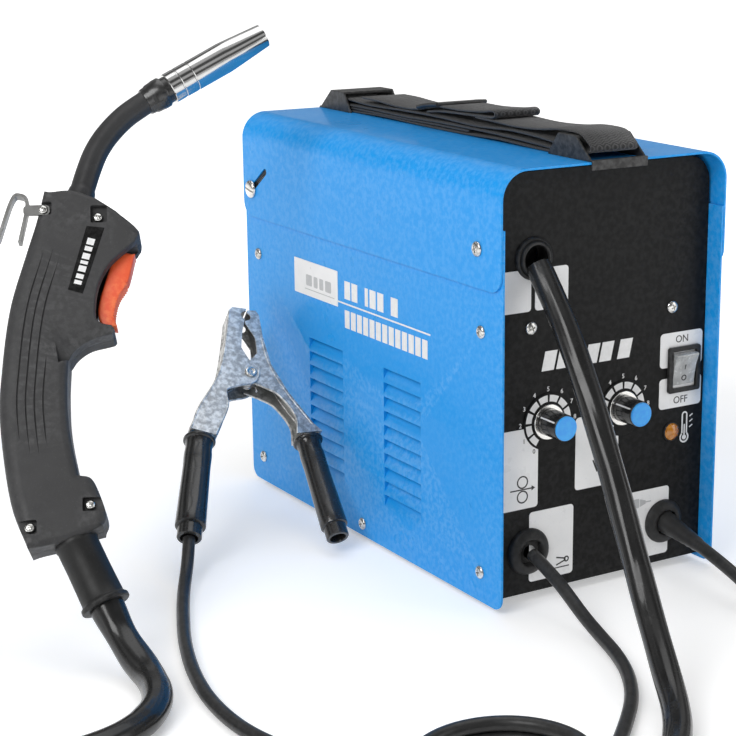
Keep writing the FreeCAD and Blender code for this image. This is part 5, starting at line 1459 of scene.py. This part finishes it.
def studio_floor():
    """A broad pale floor that glows a little with the distance from the machine."""
    floor = bpy.data.meshes.new("floor")
    work = bmesh.new()
    bmesh.ops.create_grid(work, x_segments=2, y_segments=2, size=40)
    work.to_mesh(floor)
    work.free()
    obj = place("floor", floor)
    obj.location.z = -0.0002
    finish = Finish("floor", 0.93, 0.6)
    finish.gloss(0.55, 0.65, 30, 2)
    away = finish.add("ShaderNodeVectorMath", {0: finish.place}, operation="LENGTH").outputs["Value"]
    finish.set(Specular_IOR_Level=0.2, Emission_Color=(1, 1, 1, 1))
    finish.tree.links.new(finish.spread(away, 0.32, 0.80, 0.45, 1.3), finish.shader.inputs["Emission Strength"])
    floor.materials.append(FINISHES["floor"])


def area_light(name, position, target_height, size, power):
    """A square soft light that faces a point over the middle of the floor."""
    light = bpy.data.lights.new(name, "AREA")
    light.shape = "RECTANGLE"
    light.size = light.size_y = size
    light.energy = power
    obj = place(name, light)
    obj.location = position
    aim = Vector((0, 0, target_height)) - Vector(position)
    obj.rotation_euler = aim.to_track_quat("-Z", "Y").to_euler()


def studio_world():
    """A soft white room with grey bands for the bright metal to reflect."""
    world = bpy.data.worlds.new("studio")
    world.use_nodes = True
    bpy.context.scene.world = world
    tree = world.node_tree
    tree.nodes.clear()
    direction, split, ramp, shade, output = (tree.nodes.new("ShaderNode" + kind) for kind in (
        "TexCoord", "SeparateXYZ", "ValToRGB", "Background", "OutputWorld"))
    stops = ramp.color_ramp.elements
    for position, _ in ROOM_SHADES[1:-1]:
        stops.new(position)
    for stop, (_, level) in zip(stops, ROOM_SHADES):
        stop.color = (level, level, level, 1)
    tree.links.new(direction.outputs["Generated"], split.inputs["Vector"])
    tree.links.new(split.outputs["Z"], ramp.inputs["Fac"])
    tree.links.new(ramp.outputs["Color"], shade.inputs["Color"])
    shade.inputs["Strength"].default_value = ROOM_STRENGTH
    tree.links.new(shade.outputs["Background"], output.inputs["Surface"])


def studio_camera():
    """The camera at the height and angle that shows the front and the left side."""
    lens = bpy.data.cameras.new("camera")
    lens.sensor_width = 36
    lens.lens = 92.74
    lens.shift_x = -0.161
    lens.shift_y = 0.006
    lens.clip_end = 200
    obj = place("camera", lens)
    obj.location = (-0.7628, -1.1758, 0.4817)
    turn = view_direction().to_track_quat("-Z", "Y").to_matrix()
    obj.rotation_euler = (turn @ Matrix.Rotation(math.radians(CAMERA_ROLL), 3, "Z")).to_euler()
    bpy.context.scene.camera = obj


studio_floor()
studio_world()
area_light("key", (-2.2, -1.0, 1.9), 0.15, 1.5, 44)
area_light("top", (0.3, 0.4, 2.4), 0, 2.0, 18)
area_light("fill", (1.6, -1.8, 1.0), 0.15, 1.2, 8)
studio_camera()
bpy.context.scene.view_settings.view_transform = "Standard"
